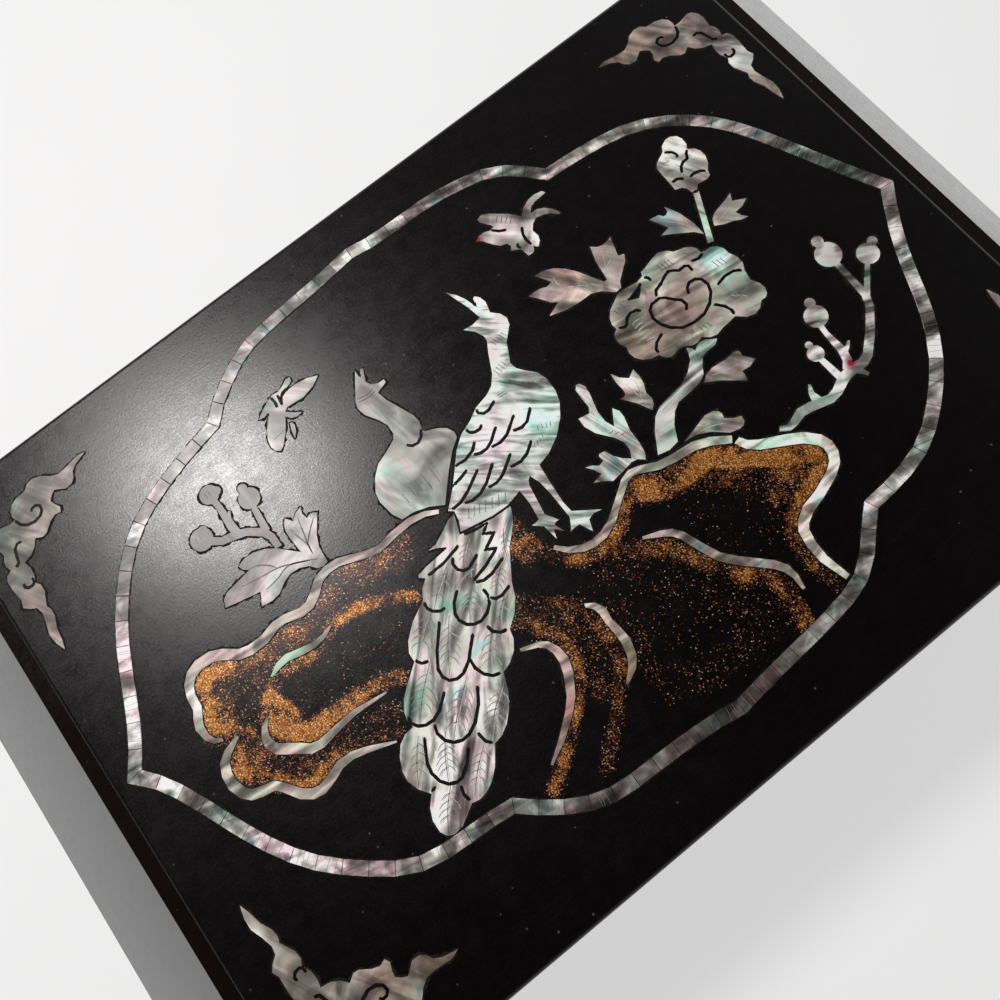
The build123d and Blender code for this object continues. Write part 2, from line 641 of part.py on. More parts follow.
# Peacock in front: body with crest and legs, and the long tail below it
peacock = plate(
    [(11.6, 44), (14.6, 43.5), (17.7, 44)],
    [(17.3, 47.1), (16.3, 51), (14.8, 56.6)],
    [(17.3, 52.8), (18.6, 48.9), (19, 46.9)],
    [(19.4, 48.9), (20.1, 50.3), (21.7, 48.5), (21.7, 45.6), (20.9, 43.3)],
    [(22.7, 41.4), (23.6, 38.5), (21.8, 35.6), (19.3, 33.7), (17.7, 30.6), (15.8, 27.6), (16.6, 24), (19.3, 21.1),
     (20.6, 18.1), (20.7, 14.6), (19.7, 10.3), (17.3, 6.6), (13.6, 3.1), (9.3, 0.4), (3.4, -1.3)],
    [(2.9, -5.4), (2, -11.1), (2, -16.9)],
    [(5, -19.1), (8.6, -21.7)],
    [(6, -21.2), (4.3, -21.7)],
    [(3.6, -23.4), (3, -24.9)],
    [(2.2, -22.9), (1.4, -21.1)],
    [(-0.2, -21), (-1.8, -21.3)],
    [(-0.4, -19.6), (0.6, -17.9)],
    [(0.7, -11.1), (0.4, -5.4), (-0.6, -2)],
    [(-1.6, -2.7), (-2.4, -4.1)],
    [(-3.1, -8.3), (-4.2, -13)],
    [(-2.1, -16.7)],
    [(-3.4, -16.6), (-4, -17)],
    [(-3, -19.9)],
    [(-4.1, -18.8), (-4.9, -17.7)],
    [(-5.9, -20.4)],
    [(-6.3, -18), (-6.4, -15.6)],
    [(-8.9, -13.3)],
    [(-7.5, -13.4), (-6.3, -13.1)],
    [(-5.4, -7.6), (-5.4, -3.6)],
    [(-7.7, -4.1), (-10, -4.6), (-13.6, -4.6), (-20, -3.6), (-25.1, -2.4)],
    [(-23.4, 1), (-23, 3.3)],
    [(-24.3, 4.4)],
    [(-20, 8.1), (-15, 13.5), (-12, 16.6), (-7.1, 19.9), (-3.6, 21.1), (0, 23.1), (5.7, 24.4), (8.4, 26.4),
     (10.1, 28.6), (12.1, 32.4), (13.4, 34.9), (15, 37.6), (14.6, 39.9)])
wing_cuts = [
    [(-15, 13.3), (-12.9, 12.9), (-9.6, 13.3), (-6.4, 15.4)],
    [(-9, 12.6), (-8, 12), (-5, 11.6), (-2.1, 13), (0.9, 15.1)],
    [(-3.8, 11.1), (-2.4, 10.7), (0.4, 10.8), (4.3, 12.7), (7, 14.6)],
    [(3.8, 11), (5, 10.5), (7.9, 10.4), (10, 11.6), (11.9, 13.3)],
    [(-6.2, 19.8), (-6.1, 18.7), (-4.9, 17.6), (-1.8, 18.1)],
    [(-0.3, 22.6), (-0.6, 21.5), (0.6, 20.3), (2.9, 20.3), (5.3, 21.4)],
    [(-19.4, 9.1), (-16.4, 9.5), (-13.1, 10.3)],
    [(-23.2, 4), (-20.7, 4), (-15.4, 6), (-10.6, 8.6)],
    [(-19.4, 3.2), (-18.2, 2.7), (-15, 2.5), (-10.7, 4.2), (-6.3, 7.4)],
    [(-11.6, 2.5), (-10.3, 2.2), (-7.7, 2.4), (-4.3, 4), (-0.7, 6.4)],
    [(-3.2, 3.2), (-2, 2.9), (0.9, 2.8), (3.7, 3.9), (6.1, 5.6)]]
nodes["inlay_peacock"] = laid(sawn(peacock, *wing_cuts))

tail = plate(
    [(-23.6, 2.7), (-24.3, 0.6), (-25.9, -2.9)],
    [(-20, -4.3), (-13.6, -5.3), (-10.1, -5.4)],
    [(-11.1, -7.6), (-15, -12), (-17.3, -14.1)],
    [(-19.1, -16.9), (-22.7, -21.9)],
    [(-24.3, -25.4), (-27.1, -28.7), (-30.9, -31.4)],
    [(-31.8, -34.3), (-34.6, -37.3), (-39.1, -39.1)],
    [(-40.7, -42.9), (-44.3, -47.9), (-48.6, -51.1), (-51.9, -51.8)],
    [(-54.3, -55), (-58.2, -58.6), (-62.1, -60.2), (-65.6, -59.7)],
    [(-69.3, -62), (-72.9, -63), (-75.4, -62.1), (-76.4, -58.9), (-75.4, -55), (-72.5, -51.6)],
    [(-74.6, -48.6), (-75.6, -45), (-74.3, -40.4), (-71.4, -36.8), (-66.4, -35.4)],
    [(-66.6, -32.9), (-65, -29.3), (-60.7, -25.6), (-56.1, -22.3)],
    [(-55.7, -19.1), (-53.2, -16), (-49.3, -13.1), (-44.6, -10.8)],
    [(-43.2, -8.6), (-40.4, -6.5)],
    [(-41.8, -5.3), (-36.4, -4), (-30.7, -3.3)],
    [(-32.9, -1.9), (-35.1, -1)],
    [(-30, 0.3), (-26.4, 2.2)])
tail_cuts = [
    [(-24.9, -3.6), (-20.7, -4.6), (-17.7, -5)],
    [(-17.7, -5), (-20.9, -6.7)],
    [(-20.9, -6.7), (-17.9, -8.3)],
    [(-17.9, -8.3), (-23.1, -10.6)],
    [(-23.1, -10.6), (-20, -12)],
    [(-20, -12), (-25.7, -14.1), (-30.6, -15.2)],
    [(-30.4, -15.9), (-27.9, -16.9), (-24.1, -16.5), (-20.4, -15.2)],
    [(-39.4, -6.4), (-36.4, -6.5), (-31.4, -5.9), (-27.9, -5)],
    [(-31.2, -6.6), (-32.3, -8.4), (-32.1, -10.1), (-30.6, -11.6), (-27.9, -11.3), (-25.3, -10.1)],
    [(-44.7, -11.4), (-44.9, -13.3), (-43.7, -15.3), (-41, -16.2)],
    [(-35.6, -14.4), (-38.6, -16.9), (-40.1, -20.1), (-39.1, -23.3), (-36.3, -24.9), (-33.2, -24.4),
     (-30.6, -22.2), (-29.9, -18.5)],
    [(-29.9, -21.5), (-28.6, -22.8), (-26.3, -23), (-23.7, -22.3)],
    [(-44.4, -18.1), (-47.9, -21.9), (-51.3, -26), (-52.6, -29), (-51.6, -32), (-48.6, -33), (-45.4, -31.7),
     (-42, -28.9), (-39.3, -26.1)],
    [(-55.8, -22.2), (-55.1, -23.6), (-53, -24.6)],
    [(-35.2, -26.9), (-34.8, -29), (-33.2, -30.6), (-31.5, -31)],
    [(-44.1, -31), (-44.1, -34.7), (-42.3, -37.7), (-39.8, -38.8)],
    [(-66, -32.6), (-66.1, -34.7), (-64.1, -36.9), (-61.1, -37.4), (-57.7, -36), (-54.4, -33.4)],
    [(-61.6, -38.4), (-62.3, -40.7), (-61.4, -43.9), (-58.7, -45.9), (-55.6, -45.9), (-51.8, -43.8),
     (-48.6, -40.6), (-46.6, -37.6)],
    [(-65.6, -39.3), (-67.9, -42.9), (-69.3, -46.4), (-69.1, -50), (-67.3, -52.6), (-64.5, -53.4),
     (-61.6, -52), (-59.6, -50.3), (-58, -48.4)],
    [(-53.9, -47), (-53.7, -49.3), (-52.9, -50.9), (-52.3, -51.4)],
    [(-65.3, -54.6), (-65.9, -56.4), (-65.6, -58.9)],
    [(-72.2, -51.2), (-70.6, -50.8)]]
nodes["inlay_peacock_tail"] = laid(sawn(tail, *tail_cuts))

# Second bird, standing behind the first
peahen = plate(
    [(-20.3, 54.4), (-22.5, 51.4), (-24.6, 48.3), (-26.3, 45.4), (-26.3, 42.8), (-24.9, 39.6), (-23.2, 36.9),
     (-22.6, 33.9), (-23.2, 31.4), (-25.7, 29.6), (-30, 28.3), (-33.6, 26), (-35.9, 23.3), (-37.4, 20.3),
     (-37.5, 16.4), (-36.8, 12.8), (-35.7, 10.6)],
    [(-31.4, 10.1), (-27.1, 8.4), (-23.9, 6.3)],
    [(-20.9, 9.4), (-16, 14.6), (-9.6, 19.6)],
    [(-9.1, 21.4), (-10.7, 24.2), (-13.9, 26), (-15.8, 27.2), (-15.1, 29.6), (-15.6, 33.9), (-17.3, 38.5),
     (-18.7, 42.1), (-19.1, 44.7)],
    [(-17.5, 45.3), (-15.4, 45.8)],
    [(-15.4, 46.9)],
    [(-17.3, 46.9), (-19.1, 48), (-19.9, 49.6)],
    [(-19.1, 51.6), (-18.1, 53.5)],
    [(-18.9, 54)],
    [(-20.2, 51.6)],
    [(-20.5, 53)])
nodes["inlay_peahen"] = laid(sawn(
    peahen,
    [(-22, 26.9), (-20.7, 25.6), (-19.1, 25.3), (-17.1, 26.4), (-16, 28)]))

# Peony flower and its bud
peony = plate(
    [(52.5, 23.9), (49.1, 22.3), (46.6, 20.4), (45.4, 18.3), (45.4, 15.9)],
    [(43.6, 14.6), (43.1, 12.3), (44, 9.9)],
    [(43.4, 7.8), (44.3, 4.9), (46.8, 2.9), (49.4, 2.3)],
    [(50, 0.9), (51.6, -0.4), (54.4, -0.1), (56.6, -0.3)],
    [(58.9, -1.7), (62.1, -1.3)],
    [(63.9, -2.9), (66.4, -3.5), (68.6, -2.9), (70.7, -2.7), (73.4, -2.6)],
    [(75.1, -4.4), (77.9, -5.6), (80.7, -4.9), (82.1, -3.6)],
    [(84.3, -3.4), (85.4, -1.7), (85.1, 1), (84, 3.1)],
    [(84.7, 6.3)],
    [(85.9, 8.5), (85.9, 11), (84.9, 13.3)],
    [(84.7, 15.6), (83, 17.6), (80.4, 18.1)],
    [(79.1, 18.5)],
    [(78.6, 21), (76.4, 22.7), (73.3, 23.7)],
    [(71.4, 25.7), (68.6, 26.4), (66.1, 25.7), (63.7, 25.1)],
    [(61.8, 24.6), (61.6, 23.7)],
    [(57.5, 23.4), (54.6, 24)])
petal_gap = plate([(53.3, 20.7), (56.8, 21.8), (60, 22.5)], [(58.4, 20.6), (56.5, 19)], [(54.8, 19.7)])
petal_cuts = [
    [(64.1, 7.5), (65.4, 9.2), (65, 11.1), (62.9, 13), (61.6, 14.9), (59.6, 15.4), (57.1, 14.9), (55.5, 12.4),
     (55.5, 9.9), (56.8, 7.1), (59.6, 4.4), (63.2, 3.4), (67.1, 3.5), (70.7, 5.1), (73.2, 7.6), (74.1, 10.1),
     (73.2, 12.6), (70.7, 13.6), (68.9, 12.7), (67.9, 10.9)],
    [(60.4, 16.2), (62.3, 18.1), (65, 18.7), (67.1, 19.9), (69.1, 19.6), (70.1, 18.4), (72.3, 18.3), (73.6, 15.6)],
    [(61.6, 23.1), (62.3, 22.4), (62.6, 20.9)],
    [(75.1, 18.1), (77.2, 17.5), (79.3, 17.9)],
    [(75.9, 7.8), (78.9, 8.5), (82.3, 8.1), (84.2, 6.9)],
    [(71.2, 4), (72.9, 1.9), (73.8, -0.6), (73.6, -2)],
    [(46, 15.7), (48.6, 15.2), (49.9, 16.6), (52.1, 17.1), (54.3, 15.7)],
    [(54.3, 6.7), (51.6, 5.6), (49.9, 3.9), (49.7, 2.8)]]
nodes["inlay_peony"] = laid(sawn(peony - petal_gap, *petal_cuts))

bud = plate(
    [(92.1, 50.4), (93.7, 52.4), (96.1, 53.1), (98.6, 51.9), (99.4, 49.2), (98.2, 46.4)],
    [(100.1, 44.9), (100.9, 42.4), (99.9, 39.2), (98, 37.1)],
    [(97.3, 35.4), (95, 35.3), (92.9, 35.6)],
    [(91.4, 34.4), (89.9, 34.6)],
    [(89.4, 36.9), (86.8, 38.5)],
    [(87.1, 41.4), (87, 44.6), (87.7, 48.1), (90, 49.4)])
bud_cuts = [
    [(92.4, 50), (93.7, 49), (94.6, 47.6), (94.4, 46.1)],
    [(91.8, 41.4), (92.9, 43.1), (94.6, 44), (96.1, 44), (97.3, 45.9), (98, 46.3)],
    [(87.6, 41), (89.3, 40.9), (91.1, 39.6)],
    [(92.7, 38.9), (95, 38.9), (96.8, 38.1), (97.6, 37.5)]]
bud_stem = make_face(Polyline((89.9, 34.1), (91.6, 33.7), (84.2, 18.8), (82.6, 19.4), close=True))
nodes["inlay_peony_bud"] = laid(sawn(bud, *bud_cuts), bud_stem)

# Leaves round the peony
leaves = [
    plate([(32.6, 39.9), (34.6, 40), (36.6, 39.7)], [(38.2, 38.9), (40.5, 39.2)], [(39.4, 41), (37.9, 43.9)],
          [(42.1, 43), (46.4, 39.6), (49.1, 35.3), (50.9, 31.7), (52.1, 29.4)], [(53.2, 29.4)],
          [(53.7, 32.8), (54.6, 36.7), (56.1, 40.6)], [(57.5, 39.2), (59.3, 38.6)], [(60.9, 38.7), (62.5, 39.2)],
          [(61.6, 36.7), (60.4, 33.1)], [(62.1, 32.4)], [(60, 29.7), (56.8, 27.6), (54.6, 24.8)], [(52.6, 24.7)],
          [(50, 27.3), (47.1, 28.9), (41.4, 29.1), (37.9, 29.7), (33.4, 31.3)], [(35.7, 32.1), (38, 33)],
          [(36.1, 34.6), (34.6, 37.1)]),
    plate([(74.7, 36), (76.4, 35.8), (77.7, 35.4)], [(79, 34), (80.4, 34.6)], [(80.7, 36.4)],
          [(82.1, 33.5), (83.4, 28.9), (83.6, 22.3)], [(81.1, 25.3), (77.5, 27.6), (74.1, 29.9)],
          [(75.9, 30.1), (77.3, 30.4)], [(75.9, 33.1)]),
    plate([(87.6, 22.4), (88.9, 24.6), (92.9, 26.1), (97.9, 27.3)], [(97.3, 26.1), (96.7, 25)],
          [(98.6, 24), (100.4, 23)], [(97.9, 21.9), (95, 21.7)], [(95.4, 20.3), (96.9, 18.3)],
          [(94.3, 19), (92.9, 19.9)], [(90, 20.9)]),
    plate([(53.7, -11.9), (57.1, -10.1), (61.4, -10.4), (65.6, -10.3)], [(67.1, -11.1), (66.9, -12.6)],
          [(67.7, -14), (69, -15.6)], [(67.1, -16.3), (63.9, -16)], [(63.7, -17.4), (63.1, -19)],
          [(61.1, -17.2), (57.9, -14.6)]),
    plate([(38.4, -21.4), (41.5, -20.8), (45, -19.6), (50, -19.7)], [(51.3, -21.1), (51, -23.1)],
          [(52.9, -24.7), (55, -25.6)], [(54.7, -27.1), (49.6, -27.3)], [(47.1, -24.9), (43.6, -22.6)]),
    plate([(35.4, 6.6), (36.6, 4.2), (38.6, 2.3)], [(41.1, 3.6)], [(40.9, -0.8), (39.4, -4)],
          [(39.3, -7.2), (37.5, -9)], [(35.9, -5.4), (32.7, -0.8)], [(34.6, -0.8), (35.1, 0.3)], [(35, 3.9)])]
nodes["inlay_leaves"] = laid(*leaves)

peony_stem = plate(
    [(56.6, -1.1), (57.7, -2.1), (58, -3.3)],
    [(60.4, -2.1), (62.2, -2.5)],
    [(63.7, -3.6), (65, -4.4)],
    [(62.5, -5.6), (59.3, -5.6), (57.3, -6.9), (55.7, -9.4), (53, -11.1), (48.6, -11.5), (44.1, -11.9),
     (41.1, -13.9), (38.6, -17), (36.9, -20.2)],
    [(33.6, -20.6), (30.3, -19.7)],
    [(32.9, -15.8), (35.1, -12.6), (38, -10.2), (41.8, -9), (46.1, -8.9), (50, -7.9), (53.2, -6.1), (55.1, -4.4)],
    [(56.1, -2.6)])
nodes["inlay_peony_stem"] = laid(peony_stem)

twig = plate(
    [(20.1, 2.1), (21.8, 1.6), (23.4, 1.4)],
    [(24.6, 6), (25.1, 9.6), (26.1, 10.3), (27.4, 9), (27, 5.3), (25.4, -0.4), (26.3, -5.9)],
    [(28.2, -3.3), (29.3, -1.5)],
    [(30.3, -3.3), (28.9, -9.7), (28.7, -13.3), (28, -16.9), (26.9, -18.6)],
    [(24.3, -16.8), (20.7, -17), (16.1, -17.6)],
    [(14.3, -16.1), (11.7, -14.7)],
    [(13.4, -14.4), (15, -14.1)],
    [(14.1, -11.9), (12.6, -9.9)],
    [(14.4, -10.6), (15.9, -11.9)],
    [(17.7, -11.6)],
    [(17.9, -9.4), (19.7, -9.7)],
    [(20.7, -12.2), (24.1, -16)],
    [(25.3, -14), (25.1, -9.7), (23.6, -7.6), (20.7, -3.3)])
nodes["inlay_twig"] = laid(twig)


def berry(x, y, radius, lean, share=1.25):
    """Round berry with a small bump that stands out on one side by a share of the radius."""
    reach = share * radius
    bump = Pos(x + reach * sin(radians(lean)), y + reach * cos(radians(lean))) * RegularPolygon(radius * 0.46, 12)
    return Pos(x, y) * RegularPolygon(radius, 20) + bump


right_branch = (
    stroke([(60.4, -34.9), (64.3, -36.1), (67.1, -35.1), (70.7, -35.4), (74.3, -36.6), (77.9, -37.2),
            (82.1, -35.6), (85.7, -34.6), (90, -35.1), (93.2, -34.1), (96.4, -31.5), (100.1, -27.9),
            (103.2, -24.4), (105, -20.8)], 1.6, 2.8, 2.6, 3.2, 2.6, 2.4, 2.2)
    + stroke([(73.6, -35.4), (73.9, -32.6), (75.1, -30.6)], 3, 1.6, 0.6)
    + stroke([(87, -33.7), (88.6, -36.6), (89.4, -38.4)], 3, 1.6, 0.9)
    + stroke([(83, -35.1), (82.7, -31.1), (82.5, -26)], 2.2, 1.4, 1.6)
    + stroke([(85.7, -34), (88.2, -31.1), (88.9, -25.4), (89.4, -18.6)], 2.4, 2.6, 1.4, 1.6)
    + stroke([(88.4, -29.7), (90.4, -29), (92.1, -27.9)], 2, 1.2, 0.5)
    + stroke([(105, -20.8), (105.1, -15.4), (105.6, -7.4)], 2.2, 1.6, 1.6)
    + stroke([(104.9, -21.4), (108.5, -17.6), (112.6, -13.6)], 1.8, 1.3, 1.3)
    + berry(90.2, -16.9, 3.4, 20) + berry(105.7, -5.2, 3.9, 5) + berry(82.6, -25, 2.4, 5)
    + berry(114.2, -12.1, 3.3, 60))
nodes["inlay_right_branch"] = laid(right_branch)

left_branch = (
    stroke([(-74.6, 50), (-74.4, 43.9), (-74.6, 39.6), (-74.3, 36)], 2, 1.8, 2.6, 2.4)
    + stroke([(-81.4, 39.6), (-77.1, 37.1), (-73.6, 36.3), (-70.4, 34.2), (-67.9, 31.7), (-67.2, 28.9),
              (-67.3, 26.2)], 2.4, 2.2, 2.6, 2.2, 2.6, 2.2, 2)
    + stroke([(-66.4, 41), (-67, 35.6), (-67.5, 32.1)], 1.6, 2, 2.2)
    + stroke([(-74.6, 40), (-73.7, 42.3), (-72.6, 43.6)], 2, 1.4, 0.6)
    + berry(-74.6, 51.2, 2.9, 100, 0.8) + berry(-83.4, 41.8, 3.4, 40, 0.7) + berry(-66.1, 43, 3.2, 0, 1.1))
nodes["inlay_left_branch"] = laid(left_branch)

leaf_spray = plate(
    [(-62.1, 14.4), (-64.3, 16.9), (-67.5, 18), (-71.4, 17.3), (-74.6, 15.4), (-77.5, 15.1), (-80.4, 15.6)],
    [(-79.1, 18.1), (-78.4, 19.2)],
    [(-82.1, 20.1), (-85.7, 20.9), (-88.6, 21.7)],
    [(-87.9, 23.7), (-83.6, 25.4), (-77.5, 26.1)],
    [(-78.9, 27.3), (-79.4, 28.9)],
    [(-76.4, 29.7), (-72.5, 29), (-69.3, 27.3), (-66.4, 24.6), (-63.2, 21)],
    [(-63.4, 25.3), (-62.9, 29.9), (-61.4, 31.7)],
    [(-60, 29.6)],
    [(-58.2, 31), (-55.9, 31.7)],
    [(-56.8, 29.2), (-56.4, 27.8)],
    [(-54.9, 28.3), (-53.2, 27.3)],
    [(-55.7, 23.9), (-57.7, 21), (-58.7, 17.4), (-58.9, 14.2)],
    [(-60.6, 13.9)])
nodes["inlay_leaf_spray"] = laid(leaf_spray)

left_bee = plate(
    [(-42.5, 60.3), (-41.1, 61.9), (-37.9, 62.4), (-33.9, 62), (-31.1, 61.1), (-29.6, 60.3)],
    [(-31.1, 59.2), (-34.3, 58), (-38.2, 57.6), (-41.4, 58.3), (-43.4, 57.3)],
    [(-41.6, 55.6), (-39.6, 54.2)],
    [(-41.3, 53.9), (-43.4, 54.9), (-44.1, 56.2)],
    [(-45.4, 54.4), (-46.4, 52.8), (-47.9, 51), (-49.4, 49.5), (-51, 48.6), (-52.4, 49.9), (-52.6, 52.1), (-51.6, 54.9),
     (-49.3, 57.8), (-47.3, 60.3)],
    [(-48.9, 59.9), (-50.9, 60.3)],
    [(-49.3, 61.4), (-47.4, 62.4), (-45, 63.6)],
    [(-42.9, 64), (-41.4, 63.7), (-38.6, 65.1), (-36.4, 65.3)],
    [(-36.6, 64.1), (-37.9, 63.4), (-40.7, 62.9)])
right_bee = plate(
    [(31.6, 63.7), (33.2, 64.6), (35, 64.7), (37, 63.9)],
    [(38.6, 64.2), (36.8, 67.1), (36.4, 69.2)],
    [(37.5, 69.7), (41.4, 67.4), (44.6, 64.6), (47, 61.4)],
    [(48.9, 63.1), (52.9, 64.6), (56.8, 64)],
    [(57.3, 62.9)],
    [(55.7, 62.7), (52.5, 62.6), (49.7, 60.4)],
    [(53.2, 59.7), (55.7, 57.1), (56.6, 54.9)],
    [(55.9, 54.7)],
    [(52.9, 57.4), (50, 58.3)],
    [(48.2, 57.4), (46.6, 55.6)],
    [(46.6, 52.4), (44.7, 50.5)],
    [(43.6, 51.6)],
    [(43, 50.4), (40.7, 50.1)],
    [(40.3, 53.1)],
    [(37.7, 54.7)],
    [(38.7, 56), (38.2, 57.3)],
    [(35, 59.6), (33.4, 62.4)])
bee_leg = plate([(-44.3, 53.7), (-45, 52.1), (-45.7, 49)], [(-44.6, 50), (-43.6, 52), (-43.6, 53.4)])
nodes["inlay_bees"] = laid(
    bee_leg,
    sawn(left_bee, [(-44.3, 63.7), (-44.1, 61.7), (-44.4, 59.9)], [(-42.3, 63.1), (-42.4, 61.7), (-42.8, 59.6)]),
    sawn(right_bee, [(37.3, 63.8), (38.6, 62.3), (40.9, 60.9)], [(44.9, 58.7), (43.4, 55.6), (43.5, 52.4)],
         [(40.6, 55.4), (40.1, 54.4), (40.5, 53.4)]))

# Bands of shell that edge the gold-dusted rocks
rock_edges = [
    stroke([(-108.6, -6.7), (-111.1, -5.1), (-112, -2.6), (-111.4, 1.4), (-109.9, 3.5), (-109.6, 6), (-108.9, 9.6),
            (-107.1, 12.1), (-103.9, 13.5), (-100.7, 13.5), (-97.9, 12.8), (-95, 10.6), (-91.8, 8.5),
            (-87.9, 7.8), (-83.6, 8.1), (-79.3, 9.2), (-75, 8.1), (-71.4, 7.4), (-67.9, 8.5), (-64.3, 11.4),
            (-60.7, 12.5), (-57.1, 12.3), (-53.6, 11.1), (-50, 9.4), (-46.4, 8.1), (-42.9, 8.3), (-38.6, 8.9),
            (-34.3, 8.9), (-30, 7.9), (-26.4, 5.9)],
           1, 2.6, 2.4, 3.2, 3, 2.8, 2.4, 2.8, 2.4, 2.2, 2.2, 2, 1.2),
    stroke([(-105, -8.4), (-107.9, -9.7), (-110.7, -11.1), (-112.5, -14), (-112.9, -17.6), (-112, -20.8),
            (-110, -23.1), (-107.1, -24), (-103.9, -24.9), (-101.8, -27.6), (-99.3, -31.1), (-95.7, -33.2),
            (-92.1, -32.9), (-88.6, -31.5), (-85, -31.1), (-81.4, -31.8), (-77.1, -33.6), (-72, -35.7)],
           1, 2.6, 3, 2.8, 2.4, 2.8, 2.6, 2.2, 1.6, 0.5),
    stroke([(-95.7, -9.4), (-97.9, -11.1), (-99.3, -14), (-98.9, -16.9), (-97.1, -18.7), (-94.3, -20.4),
            (-92.1, -22.6), (-89.3, -23.8), (-85, -23.7), (-79.3, -22.9), (-73.6, -23.1), (-69.3, -23.6),
            (-66.6, -24)],
           0.8, 2.8, 3, 2.4, 1.8, 1.4, 0.5),
    stroke([(-89, -1.5), (-86, -0.3), (-82.6, 0), (-79, -1), (-75.4, -1.8), (-71.6, -1.6), (-68.4, -0.5)],
           0.6, 2, 2.2, 1.8, 1.6, 0.6),
    stroke([(-8, -21.7), (-5, -25), (-0.4, -27.3), (4, -27.5), (9, -25.8), (14, -22.5), (18, -19.8),
            (21.5, -18.9), (25, -20.4), (29, -22.3), (34, -23.2), (39.4, -23.9), (44.6, -26.2), (48.6, -29)],
           1.2, 2.2, 2.2, 1.8, 2.2, 2.4, 2.6, 2.2),
    stroke([(49.4, -30), (51.4, -33.4), (54.6, -35.6), (58.6, -37.9), (62.1, -39.6), (65, -42.1), (67, -45),
            (67, -48.2), (65.5, -50.7), (62.9, -52.5), (59.3, -53.9), (55.7, -55), (52.1, -55.7),
            (48.9, -57.1), (46.6, -59.1), (45.6, -62.1), (45.1, -65.7), (45.3, -69.3), (46, -72.9), (46.7, -75.6)],
           2.2, 3, 3.2, 3.2, 2.8, 2.6, 3, 2.8, 2.4, 1.6),
    stroke([(12.1, -34.6), (15, -36.1), (18.6, -37.9), (20.8, -40.7), (21.8, -43.9), (22.9, -47.1),
            (24.3, -50.7), (27.1, -54.3), (30.7, -57.9), (33.9, -61.1), (36, -64.3), (36.4, -67.5), (35.9, -70.9)],
           0.8, 2, 2.2, 2.4, 2.4, 2.4, 2.2, 0.8),
    stroke([(-11.4, -38.9), (-9.6, -40.4), (-8.6, -43.6), (-9.2, -46.6), (-8.7, -50), (-8.9, -52.9),
            (-10, -56.4), (-12, -58.9), (-14.1, -60.4), (-15.8, -61.3)],
           1, 2.4, 2, 2.6, 2.6, 2, 0.6),
    stroke([(-32.1, -37.4), (-28.6, -38.6), (-25.7, -40.7), (-24.6, -43.6), (-24.6, -46.4), (-26, -50),
            (-28.2, -53.6), (-31, -56.8), (-34.5, -59.3), (-38, -61.8), (-41.4, -63.6), (-43.7, -64.9)],
           0.8, 1.8, 2.8, 2.4, 2, 1.6, 0.6)]
nodes["inlay_rock_edges"] = laid(*rock_edges)


for name, shape in nodes.items():
    export_step(shape, f"parts/{name}.step")
print(len(nodes), "nodes, lid top at", lid_top, "rim at", rim, "rim half length", rim_half)
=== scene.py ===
import math

import bmesh
import bpy
import numpy as np
from mathutils import Matrix, Vector, kdtree, noise


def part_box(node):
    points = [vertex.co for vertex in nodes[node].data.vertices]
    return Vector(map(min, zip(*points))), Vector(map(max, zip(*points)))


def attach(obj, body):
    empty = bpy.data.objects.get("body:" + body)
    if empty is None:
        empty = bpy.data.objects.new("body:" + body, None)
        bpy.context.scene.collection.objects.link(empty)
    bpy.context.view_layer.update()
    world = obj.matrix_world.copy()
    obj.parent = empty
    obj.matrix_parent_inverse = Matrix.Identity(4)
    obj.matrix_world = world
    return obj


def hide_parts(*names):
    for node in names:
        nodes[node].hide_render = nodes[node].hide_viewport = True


bpy.ops.wm.read_factory_settings(use_empty=True)
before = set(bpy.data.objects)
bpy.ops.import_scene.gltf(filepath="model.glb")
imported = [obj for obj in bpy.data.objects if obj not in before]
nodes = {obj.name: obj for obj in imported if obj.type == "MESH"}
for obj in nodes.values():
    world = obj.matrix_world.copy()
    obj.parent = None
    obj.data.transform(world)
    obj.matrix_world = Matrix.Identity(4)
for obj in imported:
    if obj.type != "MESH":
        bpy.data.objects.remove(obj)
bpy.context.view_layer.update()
mm = 0.001


# Plinth, case walls and lid boards: softwood under many coats of black lacquer, rubbed flat and
# polished, now with a faint brown cast, hairline scratches, dust specks and rubbed edges.
def node(tree, kind, wires=None, **values):
    """Adds a shader node, sets its sockets by name and joins the outputs given in wires."""
    made = tree.nodes.new("ShaderNode" + kind)
    for name, value in values.items():
        if name in made.inputs:
            made.inputs[name].default_value = value
        elif name.replace("_", " ") in made.inputs:
            made.inputs[name.replace("_", " ")].default_value = value
        else:
            setattr(made, name, value)
    for name, source in (wires or {}).items():
        tree.links.new(source, made.inputs[name])
    return made


def effect(name, **inputs):
    """Starts a shared effect that takes the given inputs and gives a colour, a roughness and a height."""
    tree = bpy.data.node_groups.new(name, "ShaderNodeTree")
    for label, value in inputs.items():
        kind = "NodeSocketColor" if isinstance(value, tuple) else "NodeSocketFloat"
        socket = tree.interface.new_socket(label.replace("_", " "), in_out="INPUT", socket_type=kind)
        socket.default_value = value
    for label, kind in (("Colour", "Color"), ("Roughness", "Float"), ("Height", "Float")):
        tree.interface.new_socket(label, in_out="OUTPUT", socket_type="NodeSocket" + kind)
    return tree, tree.nodes.new("NodeGroupInput").outputs, tree.nodes.new("NodeGroupOutput")


def finish(name, **values):
    """Starts a material and returns it with its node tree and its shader."""
    made = bpy.data.materials.new(name)
    made.use_nodes = True
    shader = made.node_tree.nodes["Principled BSDF"]
    for label, value in values.items():
        shader.inputs[label.replace("_", " ")].default_value = value
    return made, made.node_tree, shader


def feed(tree, target, **sources):
    """Joins outputs to a node's sockets by name."""
    for label, source in sources.items():
        tree.links.new(source, target.inputs[label.replace("_", " ")])


def on_piece(tree):
    return node(tree, "TexCoord").outputs["Object"]


